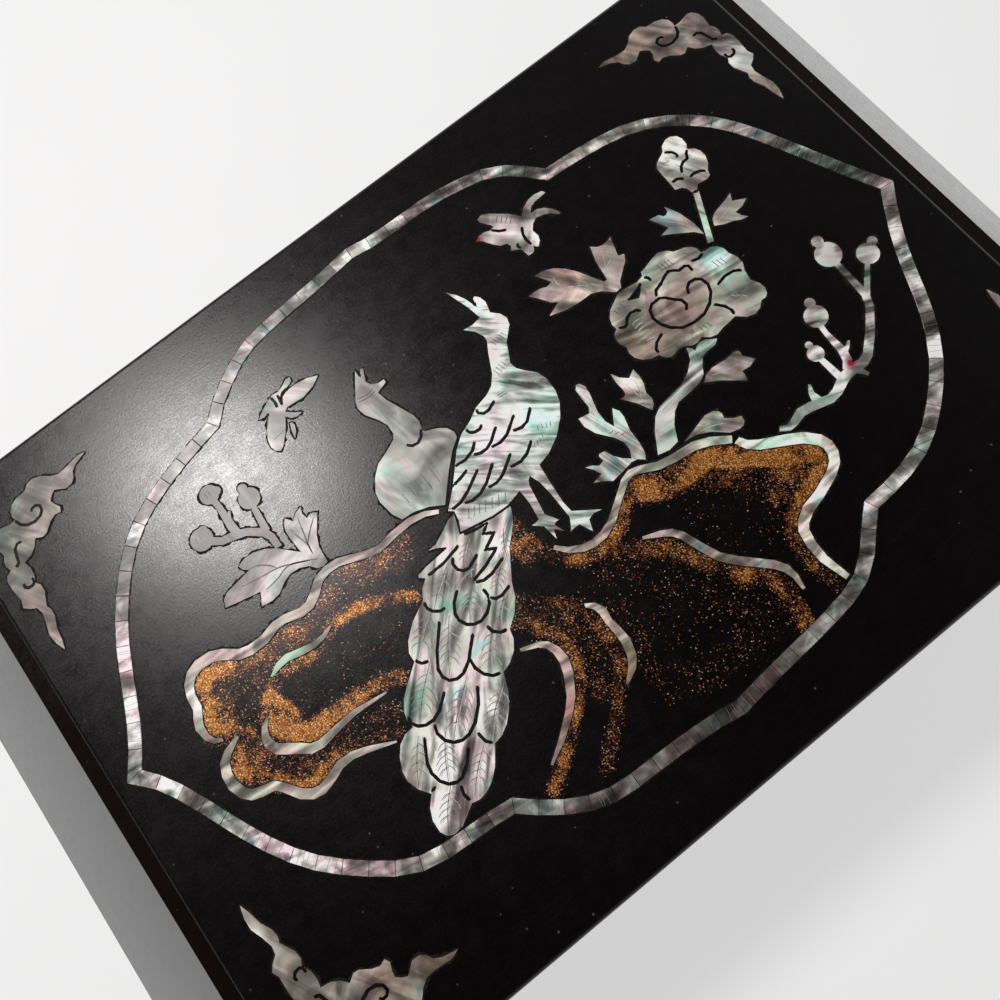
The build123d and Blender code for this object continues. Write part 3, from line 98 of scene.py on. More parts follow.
def mottle(tree, where, scale, detail, **more):
    """Soft noise; more sets its roughness or its distortion."""
    return node(tree, "TexNoise", {"Vector": where}, Scale=scale, Detail=detail, **more).outputs[0]


def stretched(tree, where, scale, turn=0.0):
    return node(tree, "Mapping", {"Vector": where}, Rotation=(0, 0, turn), Scale=scale).outputs[0]


def plug(tree, socket, value):
    """Sets a socket to a number or a colour, or joins another node's output to it."""
    if isinstance(value, (int, float, tuple)):
        socket.default_value = value
    else:
        tree.links.new(value, socket)


def maths(tree, operation, *terms):
    made = node(tree, "Math", operation=operation)
    for socket, term in zip(made.inputs, terms):
        plug(tree, socket, term)
    return made.outputs[0]


def mixed(tree, share, first, second, blend="MIX"):
    """Mixes two colours."""
    made = node(tree, "Mix", data_type="RGBA", blend_type=blend, clamp_result=True)
    for place, value in ((0, share), (6, first), (7, second)):
        plug(tree, made.inputs[place], value)
    return made.outputs[2]


def grade(tree, source, *stops):
    """Colour ramp through (place, colour) stops."""
    made = node(tree, "ValToRGB", {0: source})
    ramp = made.color_ramp
    while len(ramp.elements) < len(stops):
        ramp.elements.new(0.5)
    for element, (place, colour) in zip(ramp.elements, stops):
        element.position = place
        element.color = (*colour, 1) if isinstance(colour, tuple) else (colour, colour, colour, 1)
    return made.outputs[0]


def bump(tree, shader, height, strength, distance):
    made = node(tree, "Bump", {"Height": height}, Strength=strength, Distance=distance)
    feed(tree, shader, Normal=made.outputs[0])


def dress(tree, shader, worn, strength, distance):
    """Joins a shared effect's colour, roughness and height to a shader."""
    feed(tree, shader, Base_Color=worn.outputs["Colour"], Roughness=worn.outputs["Roughness"])
    bump(tree, shader, worn.outputs["Height"], strength, distance)


deep_black = (0.0020, 0.0012, 0.0013, 1)
lacquer_wear, given, made = effect("lacquer wear", Tone=deep_black, Gloss=0.2, Scratches=1.0, Specks=1.0)
tree = lacquer_wear
spot = on_piece(tree)
clouding = mottle(tree, spot, 14.0, 5.0, Roughness=0.6)
peel = mottle(tree, spot, 1500.0, 4.0, Roughness=0.7)
lines = []
for turn, stretch in ((0.06, (90, 2800, 90)), (-0.5, (120, 3000, 120)), (0.9, (100, 2600, 100))):
    streak = mottle(tree, stretched(tree, spot, stretch, turn), 1.0, 3.0, Roughness=0.7)
    lines.append(grade(tree, streak, (0.0, 0.0), (0.6, 0.0), (0.74, 1.0)))
rubbing = mottle(tree, stretched(tree, spot, (260, 1500, 260)), 1.0, 4.0, Roughness=0.75)
rubbing = maths(tree, "MULTIPLY", rubbing, given["Scratches"])
crossed = maths(tree, "MAXIMUM", maths(tree, "MAXIMUM", lines[0], lines[1]), lines[2])
patches = grade(tree, mottle(tree, spot, 32.0, 3.0), (0.42, 0.0), (0.65, 1.0))
worn = maths(tree, "MULTIPLY", crossed, patches)
scratch = maths(tree, "MULTIPLY", worn, given["Scratches"])
grit = node(tree, "TexVoronoi", {"Vector": spot}, Scale=330.0)
dot = grade(tree, grit.outputs["Distance"], (0.06, 1.0), (0.13, 0.0))
chosen = node(tree, "SeparateColor", {"Color": grit.outputs["Color"]}).outputs[0]
dust = maths(tree, "MULTIPLY", dot, maths(tree, "GREATER_THAN", chosen, 0.9))
dust = maths(tree, "MULTIPLY", dust, given["Specks"])
warm = mixed(tree, clouding, (0.75, 0.78, 0.85, 1), (1.35, 1.15, 1.05, 1))
tone = mixed(tree, 1.0, given["Tone"], warm, "MULTIPLY")
tone = mixed(tree, maths(tree, "MULTIPLY", scratch, 0.03), tone, (0.10, 0.09, 0.09, 1))
tone = mixed(tree, maths(tree, "MULTIPLY", dust, 0.5), tone, (0.20, 0.18, 0.17, 1))
smear = mottle(tree, spot, 170.0, 5.0, Roughness=0.7)
rough = given["Gloss"]
for wear, share in ((clouding, 0.12), (smear, 0.18), (rubbing, 0.11), (scratch, 0.12),
                    (maths(tree, "SUBTRACT", peel, 0.5), 0.24)):
    rough = maths(tree, "MULTIPLY_ADD", wear, share, rough)
height = maths(tree, "MULTIPLY_ADD", peel, 3.0, maths(tree, "MULTIPLY", scratch, -0.5))
height = maths(tree, "ADD", height, dust)
height = maths(tree, "MULTIPLY_ADD", rubbing, 2.2, height)
feed(tree, made, Colour=tone, Roughness=rough, Height=height)
grain_strength, grain_height = 0.22, 0.00004


def lacquer(name, gloss, scratches, specks, ior=1.5, tone=deep_black):
    made, tree, shader = finish(name, IOR=ior)
    worn = node(tree, "Group", node_tree=lacquer_wear, Tone=tone, Gloss=gloss, Scratches=scratches,
                Specks=specks)
    dress(tree, shader, worn, grain_strength, grain_height)
    return made


def coat(material, *names):
    """Gives CAD nodes a material in the slots they already have."""
    for name in names:
        for slot in nodes[name].material_slots:
            slot.material = material


side_lacquer = lacquer("black_lacquer_sides", 0.0, 0.15, 0.6, 1.42, (0.0060, 0.0034, 0.0031, 1))
coat(side_lacquer, "case_front_wall", "case_back_wall", "case_left_wall", "case_right_wall", "plinth_front",
     "plinth_back", "plinth_left", "plinth_right", "lid_front_rail", "lid_back_rail", "lid_left_end",
     "lid_right_end")

# Bottom board, tray floor and cleats: thin brown-black lacquer over pine, so a little of the grain
# shows under the satin surface.
grained, tree, shader = finish("stained_pine", Coat_Weight=0.15, Coat_Roughness=0.35)
spot = on_piece(tree)
along = stretched(tree, spot, (14, 160, 160))
grain = mottle(tree, along, 1.0, 6.0, Distortion=0.6)
feed(tree, shader, Base_Color=grade(tree, grain, (0.3, (0.020, 0.010, 0.007)), (0.7, (0.055, 0.028, 0.018))),
     Roughness=grade(tree, grain, (0.2, 0.38), (0.8, 0.55)))
bump(tree, shader, grain, 0.25, 0.0001)
coat(grained, "case_bottom_board", "tray_cleats", "tray_floor")

# Felt discs under the plinth's four feet: pressed wool, cut with a punch and glued on, so that the
# box doesn't scratch a table.
felt, tree, shader = finish("pressed_felt", Sheen_Weight=0.3, Sheen_Roughness=0.6)
spot = on_piece(tree)
fibre = mottle(tree, spot, 2600.0, 4.0, Distortion=1.5)
feed(tree, shader, Base_Color=grade(tree, fibre, (0.3, (0.012, 0.013, 0.014)), (0.75, (0.05, 0.05, 0.052))),
     Roughness=grade(tree, fibre, (0.2, 0.85), (0.8, 1.0)))
bump(tree, shader, fibre, 0.6, 0.0003)
coat(felt, "foot_pads")

# Linings, partitions and dividers: thin boards wrapped in deep red silk velvet, its short pile
# lying in soft light and dark patches.
velvet_pile, given, made = effect("velvet pile", Deep=(0.045, 0.002, 0.005, 1), Bright=(0.26, 0.012, 0.026, 1))
tree = velvet_pile
spot = on_piece(tree)
nap = mottle(tree, spot, 55.0, 4.0, Distortion=0.8)
tuft = mottle(tree, spot, 3200.0, 2.0)
share = maths(tree, "MULTIPLY_ADD", tuft, 0.5, maths(tree, "MULTIPLY", nap, 0.7))
share = grade(tree, share, (0.35, 0.0), (0.85, 1.0))
feed(tree, made, Colour=mixed(tree, share, given["Deep"], given["Bright"]),
     Roughness=maths(tree, "MULTIPLY_ADD", tuft, 0.2, 0.75),
     Height=maths(tree, "MULTIPLY_ADD", nap, 0.4, tuft))


def velvet(name, deep, bright):
    made, tree, shader = finish(name, Sheen_Weight=0.35, Sheen_Roughness=0.35, Sheen_Tint=(1.0, 0.45, 0.45, 1))
    dress(tree, shader, node(tree, "Group", node_tree=velvet_pile, Deep=deep, Bright=bright), 0.5, 0.0003)
    return made


lining_velvet = velvet("lining_velvet", (0.045, 0.002, 0.005, 1), (0.24, 0.010, 0.022, 1))
coat(lining_velvet, "case_long_linings", "case_end_linings", "left_partition", "right_partition",
     "lid_lining_board", "lid_rail_linings", "lid_end_linings", "tray_long_divider", "tray_cross_divider",
     "tray_short_divider")

# Floor pads: velvet pulled over a thin layer of wadding on card, so the top is slightly crowned,
# the edges roll under and the cloth lies in shallow waves.
pad_velvet = velvet("pad_velvet", (0.06, 0.003, 0.007, 1), (0.30, 0.014, 0.030, 1))


def set_down(name, data):
    placed = bpy.data.objects.new(name, data)
    bpy.context.scene.collection.objects.link(placed)
    return placed


def shown(name, verts, faces, material, body, smooth=False, **marks):
    """Makes a mesh object that rides on a body; marks are numbers kept on its points."""
    mesh = bpy.data.meshes.new(name)
    mesh.from_pydata(verts, [], faces)
    mesh.update()
    for polygon in mesh.polygons:
        polygon.use_smooth = smooth
    mesh.materials.append(material)
    for label, values in marks.items():
        kept = mesh.attributes.new(label, "FLOAT", "POINT")
        kept.data.foreach_set("value", np.array(values, dtype=np.float32))
    piece = set_down(name, mesh)
    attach(piece, body)
    return piece


def pad_form(low, high, seed):
    """Points and faces of one crowned pad with rolled edges between two corners."""
    grid, rolled_edge, tucked_in = 6 * mm, 2.2 * mm, 0.4 * mm
    size = [high[axis] - low[axis] for axis in (0, 1)]
    thick = high[2] - low[2]
    count = [max(10, int(length / grid)) for length in size]
    verts, faces, index = [], [], {}

    def station(step, steps, length):
        edge = grid / length
        t = step / steps
        return edge * t * 6 if t < 1 / 6 else (1 - edge * (1 - t) * 6 if t > 5 / 6 else
                                               edge + (t - 1 / 6) * 1.5 * (1 - 2 * edge))

    for row in range(count[1] + 1):
        for column in range(count[0] + 1):
            u, v = station(column, count[0], size[0]), station(row, count[1], size[1])
            near = min(u * size[0], (1 - u) * size[0], v * size[1], (1 - v) * size[1])
            round_edge = math.sqrt(max(0.0, 1 - (1 - min(near / rolled_edge, 1.0)) ** 2))
            crown = math.sin(math.pi * u) ** 0.5 * math.sin(math.pi * v) ** 0.5
            spot = Vector((low[0] + u * size[0], low[1] + v * size[1], seed))
            wave = noise.noise(spot * 60) * 0.10 + noise.noise(spot * 160) * 0.05
            height = thick * (0.25 + 0.5 * round_edge + 0.18 * crown + 0.35 * wave * round_edge)
            index[column, row] = len(verts)
            verts.append((spot.x, spot.y, low[2] + min(height, thick)))
    for row in range(count[1]):
        for column in range(count[0]):
            faces.append([index[column + x, row + y] for x, y in ((0, 0), (1, 0), (1, 1), (0, 1))])
    rim = [index[c, 0] for c in range(count[0])] + [index[count[0], r] for r in range(count[1])]
    rim += [index[c, count[1]] for c in range(count[0], 0, -1)] + [index[0, r] for r in range(count[1], 0, -1)]
    foot = []
    for number in rim:
        x, y, z = verts[number]
        pull = Vector((low[0] + size[0] / 2 - x, low[1] + size[1] / 2 - y, 0)).normalized() * tucked_in
        foot.append(len(verts))
        verts.append((x + pull.x, y + pull.y, low[2] + 0.1 * mm))
    for here in range(len(rim)):
        there = (here + 1) % len(rim)
        faces.append([rim[there], rim[here], foot[here], foot[there]])
    faces.append(foot[::-1])
    return verts, faces


def pads(name, cad_node, body, corners):
    verts, faces = [], []
    for seed, (low, high) in enumerate(corners):
        more, sides = pad_form(low, high, seed * 1.7)
        faces += [[number + len(verts) for number in face] for face in sides]
        verts += more
    piece = shown(name, verts, faces, pad_velvet, body, smooth=True)
    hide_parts(cad_node)


def welded(name):
    """Copy of a CAD node's mesh with its split corners joined."""
    form = bmesh.new()
    form.from_mesh(nodes[name].data)
    bmesh.ops.remove_doubles(form, verts=form.verts, dist=1e-6)
    return form


def islands(name):
    """Corners of each separate solid in a CAD node."""
    form = welded(name)
    left, boxes = set(form.verts), []
    while left:
        group, queue = set(), [left.pop()]
        while queue:
            vert = queue.pop()
            group.add(vert)
            for edge in vert.link_edges:
                other = edge.other_vert(vert)
                if other in left:
                    left.discard(other)
                    queue.append(other)
        spots = np.array([vert.co for vert in group])
        boxes.append((tuple(spots.min(0)), tuple(spots.max(0))))
    form.free()
    return sorted(boxes)


pads("main_floor_cushion", "main_floor_pad", "case", [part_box("main_floor_pad")])
pads("well_floor_cushions", "well_floor_pads", "case", islands("well_floor_pads"))

# Hinges, pins and screws: cast brass, brushed along the hinge line and slightly browned. The leaves
# are let into case and lid, each with two screws.
brass, tree, shader = finish("brushed_brass", Metallic=1.0)
spot = on_piece(tree)
along = stretched(tree, spot, (60, 2400, 2400))
brushed = mottle(tree, along, 1.0, 4.0)
stain = mottle(tree, spot, 180.0, 5.0)
bright = grade(tree, brushed, (0.3, (0.42, 0.27, 0.09)), (0.7, (0.66, 0.46, 0.19)))
browned = mixed(tree, grade(tree, stain, (0.5, 0.0), (0.75, 0.7)), bright, (0.16, 0.085, 0.03, 1))
feed(tree, shader, Base_Color=browned, Roughness=grade(tree, stain, (0.3, 0.25), (0.75, 0.5)))
bump(tree, shader, brushed, 0.2, 0.00005)
coat(brass, "left_hinge_case_leaf", "right_hinge_case_leaf", "left_hinge_lid_leaf", "right_hinge_lid_leaf",
     "left_hinge_pin", "right_hinge_pin", "hinge_case_screws", "hinge_lid_screws")

# Lid top panel: the finest lacquer on the box, polished like glass and handled most, so it has
# the most hairlines and specks.
top_gloss, top_scratches, top_specks, top_ior = 0.09, 0.55, 0.7, 1.40
top_lacquer = lacquer("black_lacquer_top", top_gloss, top_scratches, top_specks, top_ior)
coat(top_lacquer, "lid_top_panel")

# Mirror under the lid: silvered glass with a little haze. Its moulded frame and the rails of the
# tray are wood in the same lacquer as the outside.
silvered, tree, shader = finish("silvered_glass", Metallic=1.0)
spot = on_piece(tree)
haze = mottle(tree, spot, 60.0, 6.0, Distortion=1.0)
feed(tree, shader, Base_Color=grade(tree, haze, (0.3, (0.87, 0.89, 0.88)), (0.7, (0.84, 0.86, 0.85))),
     Roughness=grade(tree, haze, (0.45, 0.004), (0.85, 0.05)))
coat(silvered, "lid_mirror")
coat(lacquer("black_lacquer_moulding", 0.03, 0.4, 0.4), "mirror_frame", "tray_front_rail", "tray_back_rail",
     "tray_left_rail", "tray_right_rail")

# Shell inlay: plates sawn from sea shell, let into the lacquer and polished. Every plate has its
# own grain and its own pink, green and blue lights.
shell_lustre, given, made = effect(
    "shell lustre", Grain_turn=0.3, Grain=1.0, Fineness=1.0, Dim=0.5, Colour_play=0.5, Shift=0.0,
    Cast=(1.0, 1.0, 1.0, 1))
tree = shell_lustre
spot = on_piece(tree)
offset = node(tree, "CombineXYZ", {"X": given["Shift"], "Y": given["Shift"]})
moved = node(tree, "VectorMath", {0: spot, 1: offset.outputs[0]}, operation="ADD").outputs[0]
turned = node(tree, "VectorRotate", {"Vector": moved, "Angle": given["Grain turn"]})
finer = node(tree, "VectorMath", {0: turned.outputs[0], "Scale": given["Fineness"]}, operation="SCALE")
along = stretched(tree, finer.outputs[0], (26, 150, 26))
streaks = mottle(tree, along, 1.0, 4.0, Roughness=0.5, Distortion=1.5)
broad = mottle(tree, moved, 70.0, 3.0, Distortion=0.8)
play = mottle(tree, moved, 46.0, 3.0, Distortion=1.2)
banded = maths(tree, "MULTIPLY", maths(tree, "SUBTRACT", streaks, 0.5), given["Grain"])
light = maths(tree, "MULTIPLY_ADD", banded, 1.6, maths(tree, "MULTIPLY_ADD", broad, 1.15, 0.105))
light = maths(tree, "SUBTRACT", light, maths(tree, "MULTIPLY", given["Dim"], 0.4))
silver = grade(tree, light, (0.16, (0.030, 0.028, 0.028)), (0.36, (0.13, 0.126, 0.124)),
               (0.52, (0.36, 0.355, 0.35)), (0.64, (0.64, 0.645, 0.64)), (0.76, (0.96, 0.965, 0.96)))
hue = grade(tree, play, (0.28, (0.50, 0.90, 0.76)), (0.40, (0.88, 1.0, 0.95)),
            (0.50, (1.0, 0.98, 0.95)), (0.56, (1.0, 0.78, 0.88)), (0.61, (1.0, 0.95, 0.90)),
            (0.68, (0.52, 0.87, 0.96)), (0.78, (1.0, 0.86, 0.72)))
coloured = mixed(tree, given["Colour play"], silver, mixed(tree, 1.0, silver, hue, "MULTIPLY"))
coloured = mixed(tree, 1.0, coloured, given["Cast"], "MULTIPLY")
feed(tree, made, Colour=coloured, Roughness=maths(tree, "MULTIPLY_ADD", streaks, 0.18, 0.27), Height=streaks)

film = 0.01 * mm
lid_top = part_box("lid_top_panel")[1].z
shell_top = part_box("inlay_peacock")[1].z


def plate_outlines(name):
    """Closed runs round the upper faces of a CAD node's plates, with the plate on the left."""
    form = welded(name)
    form.normal_update()
    follow = {}
    for face in form.faces:
        for loop in face.loops:
            across = [other for other in loop.edge.link_faces if other is not face]
            if face.normal.z > 0.9 and across and abs(across[0].normal.z) < 0.5:
                follow[tuple(loop.vert.co.xy)] = tuple(loop.link_loop_next.vert.co.xy)
    form.free()
    loops = []
    while follow:
        run = [min(follow)]
        while run[-1] in follow:
            run.append(follow.pop(run[-1]))
        loops.append(run[:-1] if run[-1] == run[0] else run)
    return loops


coral = (0.26, 0.020, 0.028)
light_level = 136.2 * mm


def shell(name, turn, grain, fine, dim, play, shift, cast, lights):
    """Shell material. A painted light is (x, y, radius, shade) on the lid in millimetres, a soft spot of
    painted highlight where the shade is above one and of painted shade where it is below one. A shade is what
    the shell is multiplied by there, one number or three; coral covers the shell."""
    made, tree, shader = finish(name, IOR=1.42)
    lustre = node(tree, "Group", node_tree=shell_lustre, Grain_turn=turn, Grain=grain, Fineness=fine,
                  Dim=dim, Colour_play=play, Shift=shift, Cast=(*cast, 1))
    colour = lustre.outputs["Colour"]
    where = on_piece(tree)
    # Painted light and shade: each spot brightens the shell's colour for a shade above one and darkens it below
    # one.
    for x, y, radius, shade in lights:
        shade = shade if isinstance(shade, tuple) else (shade, shade, shade)
        gap = node(tree, "VectorMath", {0: where}, operation="DISTANCE")
        gap.inputs[1].default_value = (x * mm, y * mm, light_level)
        near = node(tree, "MapRange", {"Value": gap.outputs["Value"]}, From_Min=radius * mm * 0.35,
                    From_Max=radius * mm * 1.15, To_Min=1.0, To_Max=0.0)
        blend = "MIX" if shade == coral else "MULTIPLY"
        colour = mixed(tree, near.outputs[0], colour, (*shade, 1), blend)
    feed(tree, shader, Base_Color=colour, Roughness=lustre.outputs["Roughness"])
    bump(tree, shader, lustre.outputs["Height"], 0.10, 0.00008)
    return made, tree, shader, colour


# Each plate has its turn, grain, fineness, dimness, play of colour, shift, cast and painted lights.
plates = (
    ("peacock", 0.66, 0.8, 1.9, 0.12, 0.9, 0.00, (0.95, 1.0, 0.97),
     [(-4, 12, 9, (1.12, 1.0, 1.1)), (15, 10, 10, (1.15, 1.4, 1.34)), (-17, 1, 8, 0.72), (19, 48, 6, 2.4)]),
    ("peony_stem", 0.0, 1.1, 1.0, 0.33, 1.0, 0.67, (0.84, 1.0, 0.92),
     [(36, -16, 6, (0.74, 0.68, 0.66)), (44, -10, 6, 1.8), (59, -5, 5, 0.7)]),
    ("twig", 1.3, 0.8, 1.6, 0.06, 0.7, 0.71, (0.92, 1.0, 0.95), []),
    ("right_branch", 0.4, 1.0, 1.0, 0.26, 0.9, 0.83, (0.97, 1.0, 0.96),
     [(85, -28, 10, 2.5), (107, -9, 9, 0.65), (91, -16, 4, 0.7), (88, -33, 2.0, coral)]),
    # The high dimness of the left branch and of the leaf spray below is painted shade where the lamp's
    # reflection lies.
    ("left_branch", 1.5, 0.5, 1.0, 0.95, 0.8, 0.97, (1.0, 0.86, 0.8), [(-78, 46, 10, 0.6)]),
    ("leaf_spray", -0.3, 0.5, 1.0, 0.62, 0.9, 1.03, (1.0, 0.9, 0.92), []),
    ("rock_edges", 0.1, 0.8, 1.0, 0.36, 1.0, 1.19, (1.0, 0.88, 0.78),
     [(62, -41, 14, (3.2, 3.4, 3.5)), (50, -62, 14, (2.7, 2.7, 2.8)), (21, -20, 8, (1.9, 2.1, 2.1)),
      (7, -26, 6, 1.5), (-106, 5, 9, (1.3, 1.5, 1.6)), (-63, 11, 12, 0.62), (-79, -23, 9, 1.7),
      (-107, -22, 10, (1.4, 1.55, 1.5)), (-14, -42, 9, (1.5, 1.3, 1.4)), (-31, -57, 10, (0.56, 0.42, 0.42)),
      (-11, -58, 9, (0.56, 0.42, 0.38))]),
    ("bees", 0.8, 0.5, 1.0, 0.5, 0.9, 1.31, (0.99, 1.0, 0.94),
     [(45, 54, 7, 2.2), (40, 66, 4, 0.7), (32.2, 63.8, 2.0, coral)]),
    ("peahen", 1.4, 0.2, 1.0, 0.38, 0.5, 0.23, (0.96, 1.0, 0.95),
     [(-24, 25.5, 7, (0.66, 0.64, 0.6)), (-14, 22, 6, (0.88, 0.84, 0.8)), (-35, 22, 6, 1.3),
      (-21.5, 47, 12, 3.0), (-28, 13, 8, 1.35), (-19, 54.4, 1.4, coral)]),
    ("peony", 0.2, 0.5, 1.0, 0.48, 0.9, 0.31, (0.99, 1.0, 0.9),
     [(65, 9, 13, (0.68, 0.59, 0.54)), (49, 8, 9, (1.4, 1.22, 1.1)), (81, 15.4, 5.5, (1.5, 2.3, 2.4)),
      (68, 23, 7, 1.8), (51, 1.4, 4, 1.5), (80, 0, 9, 0.55), (59, -1, 6, (2.6, 2.5, 2.4)), (60, 21, 6, 2.3),
      (75, 21, 5, 2.6)]),
    ("peony_bud", 1.1, 0.8, 1.3, 0.0, 0.8, 0.47, (1.0, 1.0, 0.93),
     [(92, 36.4, 5, (0.35, 0.31, 0.3)), (95, 48, 8, 1.35)]),
    ("leaves", 0.9, 0.5, 1.0, 0.53, 0.8, 0.52, (1.0, 0.96, 0.87),
     [(45, 35, 10, (1.1, 0.95, 0.92)), (37, -3, 6, 2.1), (50, -23, 9, (3.6, 3.8, 3.6)), (48, 29, 4, 1.9),
      (57, -12, 6, 1.8), (59, 35, 6, (0.55, 0.5, 0.5)), (82, 30, 6, 0.72), (32.9, -0.5, 1.3, coral)]),
    ("clouds", 1.0, 0.4, 1.0, 0.6, 0.8, 1.57, (1.0, 0.88, 0.79),
     [(104, 79, 14, (0.78, 0.68, 0.64)), (118, 82, 8, (0.68, 0.64, 0.64)), (131, 62, 9, (1.7, 2.1, 2.3)),
      (-126, -57, 11, (2.1, 2.2, 2.2)), (-107, -80, 7, (1.35, 1.3, 1.2)), (-117, -76, 6, 0.72),
      (-95, -84, 8, (0.66, 0.62, 0.52))]))
for name, *cut_and_tone in plates:
    coat(shell("shell_" + name, *cut_and_tone)[0], "inlay_" + name)

# Tail: the feathers are one plate of shell with saw cuts between them; each lies in a painted light of its
# own, painted shade on the greyer ones to the left and painted highlight on the whiter ones to the right.
# Each feather has its root, its tip, the spread of its veins and their number on a side.
feathers = (
    ((-24.5, -5), (-30.5, -10.6), 2.6, 3), ((-34, -7.6), (-43.6, -14.6), 3.4, 4),
    ((-44.5, -13.6), (-55, -22.4), 4.4, 4), ((-31.4, -15.6), (-38.2, -23.6), 4.2, 4),
    ((-41.4, -18.4), (-51.2, -31.6), 4.6, 5), ((-53, -25), (-64.4, -35.8), 5.0, 5),
    ((-33.4, -27.4), (-42.4, -37.8), 4.4, 4), ((-47.4, -34), (-60.4, -45), 5.0, 5),
    ((-66.6, -38), (-74.4, -48.6), 3.6, 4), ((-60.4, -41.6), (-67.4, -52.2), 4.2, 5),
    ((-41, -41), (-52.6, -50.8), 4.4, 5), ((-67, -52.6), (-74.6, -61.4), 4.0, 4),
    ((-54, -50), (-64, -58.8), 4.0, 4), ((-21.4, -16.4), (-28.4, -22), 2.8, 4),
    ((-26, -23), (-33.6, -30.2), 2.6, 3), ((-15.4, -9), (-19.6, -16), 2.0, 3),
    ((-27, -12.2), (-35.4, -13.4), 1.6, 3))
grey_plain_white = ((0.58, 0.60, 0.56), (0.92, 0.92, 0.89), (1.95, 1.85, 1.92))
feather_painted_light_steps = (1, 0, 0, 1, 0, 0, 1, 2, 0, 2, 2, 2, 2, 1, 0, 2, 1)
feather_painted_lights = [((base[0] + tip[0]) / 2, (base[1] + tip[1]) / 2, 6.0, grey_plain_white[tone])
                  for (base, tip, _, _), tone in zip(feathers, feather_painted_light_steps)]
coat(shell("shell_tail", -0.8, 0.95, 1.3, 0.34, 1.0, 0.11, (1.0, 0.985, 0.94), feather_painted_lights)[0],
     "inlay_peacock_tail")

# Shell border: about a hundred strips laid end to end, each filed by eye and cut from another
# part of the shell, so edges wander a little and tones step from strip to strip.
# The border's painted lights are painted shade at the back left, the right end and the front, and painted
# highlights at the back right, the front left corner and the left end.
border_shell, tree, shader, colour = shell(
    "shell_border", 0.2, 0.8, 1.0, 0.44, 0.85, 1.43, (1.0, 0.98, 0.94),
    [(-40, 82, 46, 0.60), (80, 66, 18, 1.4), (124, 28, 42, 0.70), (5, -84, 54, (0.17, 0.145, 0.14)),
     (-52, -74, 22, 0.50), (-78, -65, 17, 2.1), (-112, -36, 22, (2.1, 2.2, 2.2)),
     (-124, 16, 22, (1.5, 1.3, 1.4))])
strip = node(tree, "Attribute", attribute_name="strip").outputs["Fac"]
shade = grade(tree, strip, (0.0, 0.55), (0.35, 0.8), (0.7, 1.0), (0.88, 1.15), (1.0, 1.6))
where = on_piece(tree)
# Painted glints: soft patches a few millimetres wide that scale the strips' colour from about half to twice,
# standing in for the shell's silvery reflections.
painted_silver_glints = mottle(tree, where, 190.0, 2.0, Distortion=0.6)
strip_tone = mixed(tree, 1.0, mixed(tree, 1.0, colour, shade, "MULTIPLY"),
                   grade(tree, painted_silver_glints, (0.34, 0.42), (0.5, 0.95), (0.62, 1.7), (0.72, 2.0)), "MULTIPLY")
pink = maths(tree, "GREATER_THAN", maths(tree, "FRACT", maths(tree, "MULTIPLY", strip, 7.3)), 0.78)
strip_tone = mixed(tree, maths(tree, "MULTIPLY", pink, 0.6), strip_tone,
                   mixed(tree, 1.0, strip_tone, (1.0, 0.80, 0.92, 1), "MULTIPLY"))
feed(tree, shader, Base_Color=strip_tone)
longer, wandering, bevel = 0.07 * mm, 0.08 * mm, 0.09 * mm
strips = []
for loop in plate_outlines("inlay_border"):
    corners = [Vector(spot) for spot in loop]
    if (corners[1] - corners[0]).length < (corners[2] - corners[1]).length:
        corners = corners[1:] + corners[:1]
    ahead = (corners[1] - corners[0]).normalized() * longer
    behind = (corners[3] - corners[2]).normalized() * longer
    strips.append([corners[0] - ahead, corners[1] + ahead, corners[2] - behind, corners[3] + behind])
verts, faces, tones = [], [], []
for number, corners in enumerate(strips):
    run = []
    for here, there in zip(corners, corners[1:] + corners[:1]):
        count = max(2, int((there - here).length / (1.1 * mm)))
        run += [here.lerp(there, step / count) for step in range(count)]
    middle = sum(corners, Vector((0, 0))) / 4
    start, size = len(verts), len(run)
    for inset, level in ((0.0, lid_top + film), (0.0, shell_top - 0.05 * mm), (bevel, shell_top)):
        for spot in run:
            wander = wandering * noise.noise(Vector((spot.x / mm * 0.9, spot.y / mm * 0.9, 2.0)))
            inward = (middle - spot).normalized() * (inset + wander)
            verts.append((spot.x + inward.x, spot.y + inward.y, level))
    for row in (0, 1):
        for step in range(size):
            here, there = start + row * size + step, start + row * size + (step + 1) % size
            faces.append([here, there, there + size, here + size])
    faces.append([start + 2 * size + step for step in range(size)])
    tones += [(number * 0.618034 + 0.3 * math.sin(number * 5.1)) % 1] * (3 * size)
border = shown("border_strips", verts, faces, border_shell, "lid", strip=tones)
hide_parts("inlay_border")

# Engraved lines: feather and leaf veins, neck and breast marks and petal folds, scratched into the
# shell with a needle and rubbed with lacquer.
def cut_line(name, dark, light, shine=0.5, scale=600.0, dull=0.35):
    made, tree, shader = finish(name, Specular_IOR_Level=shine)
    depth = mottle(tree, on_piece(tree), scale, 3.0)
    feed(tree, shader, Base_Color=grade(tree, depth, (0.3, dark), (0.75, light)),
         Roughness=grade(tree, depth, (0.3, dull), (0.7, dull + 0.25)))
    return made


engraved = cut_line("engraved_line", (0.018, 0.016, 0.016), (0.11, 0.10, 0.10))
faint_line = cut_line("faint_needle_line", (0.09, 0.088, 0.085), (0.33, 0.32, 0.31))


def smooth_line(points, fine=6):
    """Smooth run of points through the given ones."""
    spots = [Vector((x, y, 0)) for x, y in points]
    if len(spots) == 2:
        return spots
    ends = [2 * spots[0] - spots[1], *spots, 2 * spots[-1] - spots[-2]]
    run = []
    for a, b, c, d in zip(ends, ends[1:], ends[2:], ends[3:]):
        for step in range(fine):
            t = step / fine
            run.append(0.5 * ((2 * b) + (c - a) * t + (2 * a - 5 * b + 4 * c - d) * t * t
                              + (3 * b - a - 3 * c + d) * t ** 3))
    run.append(spots[-1])
    return run


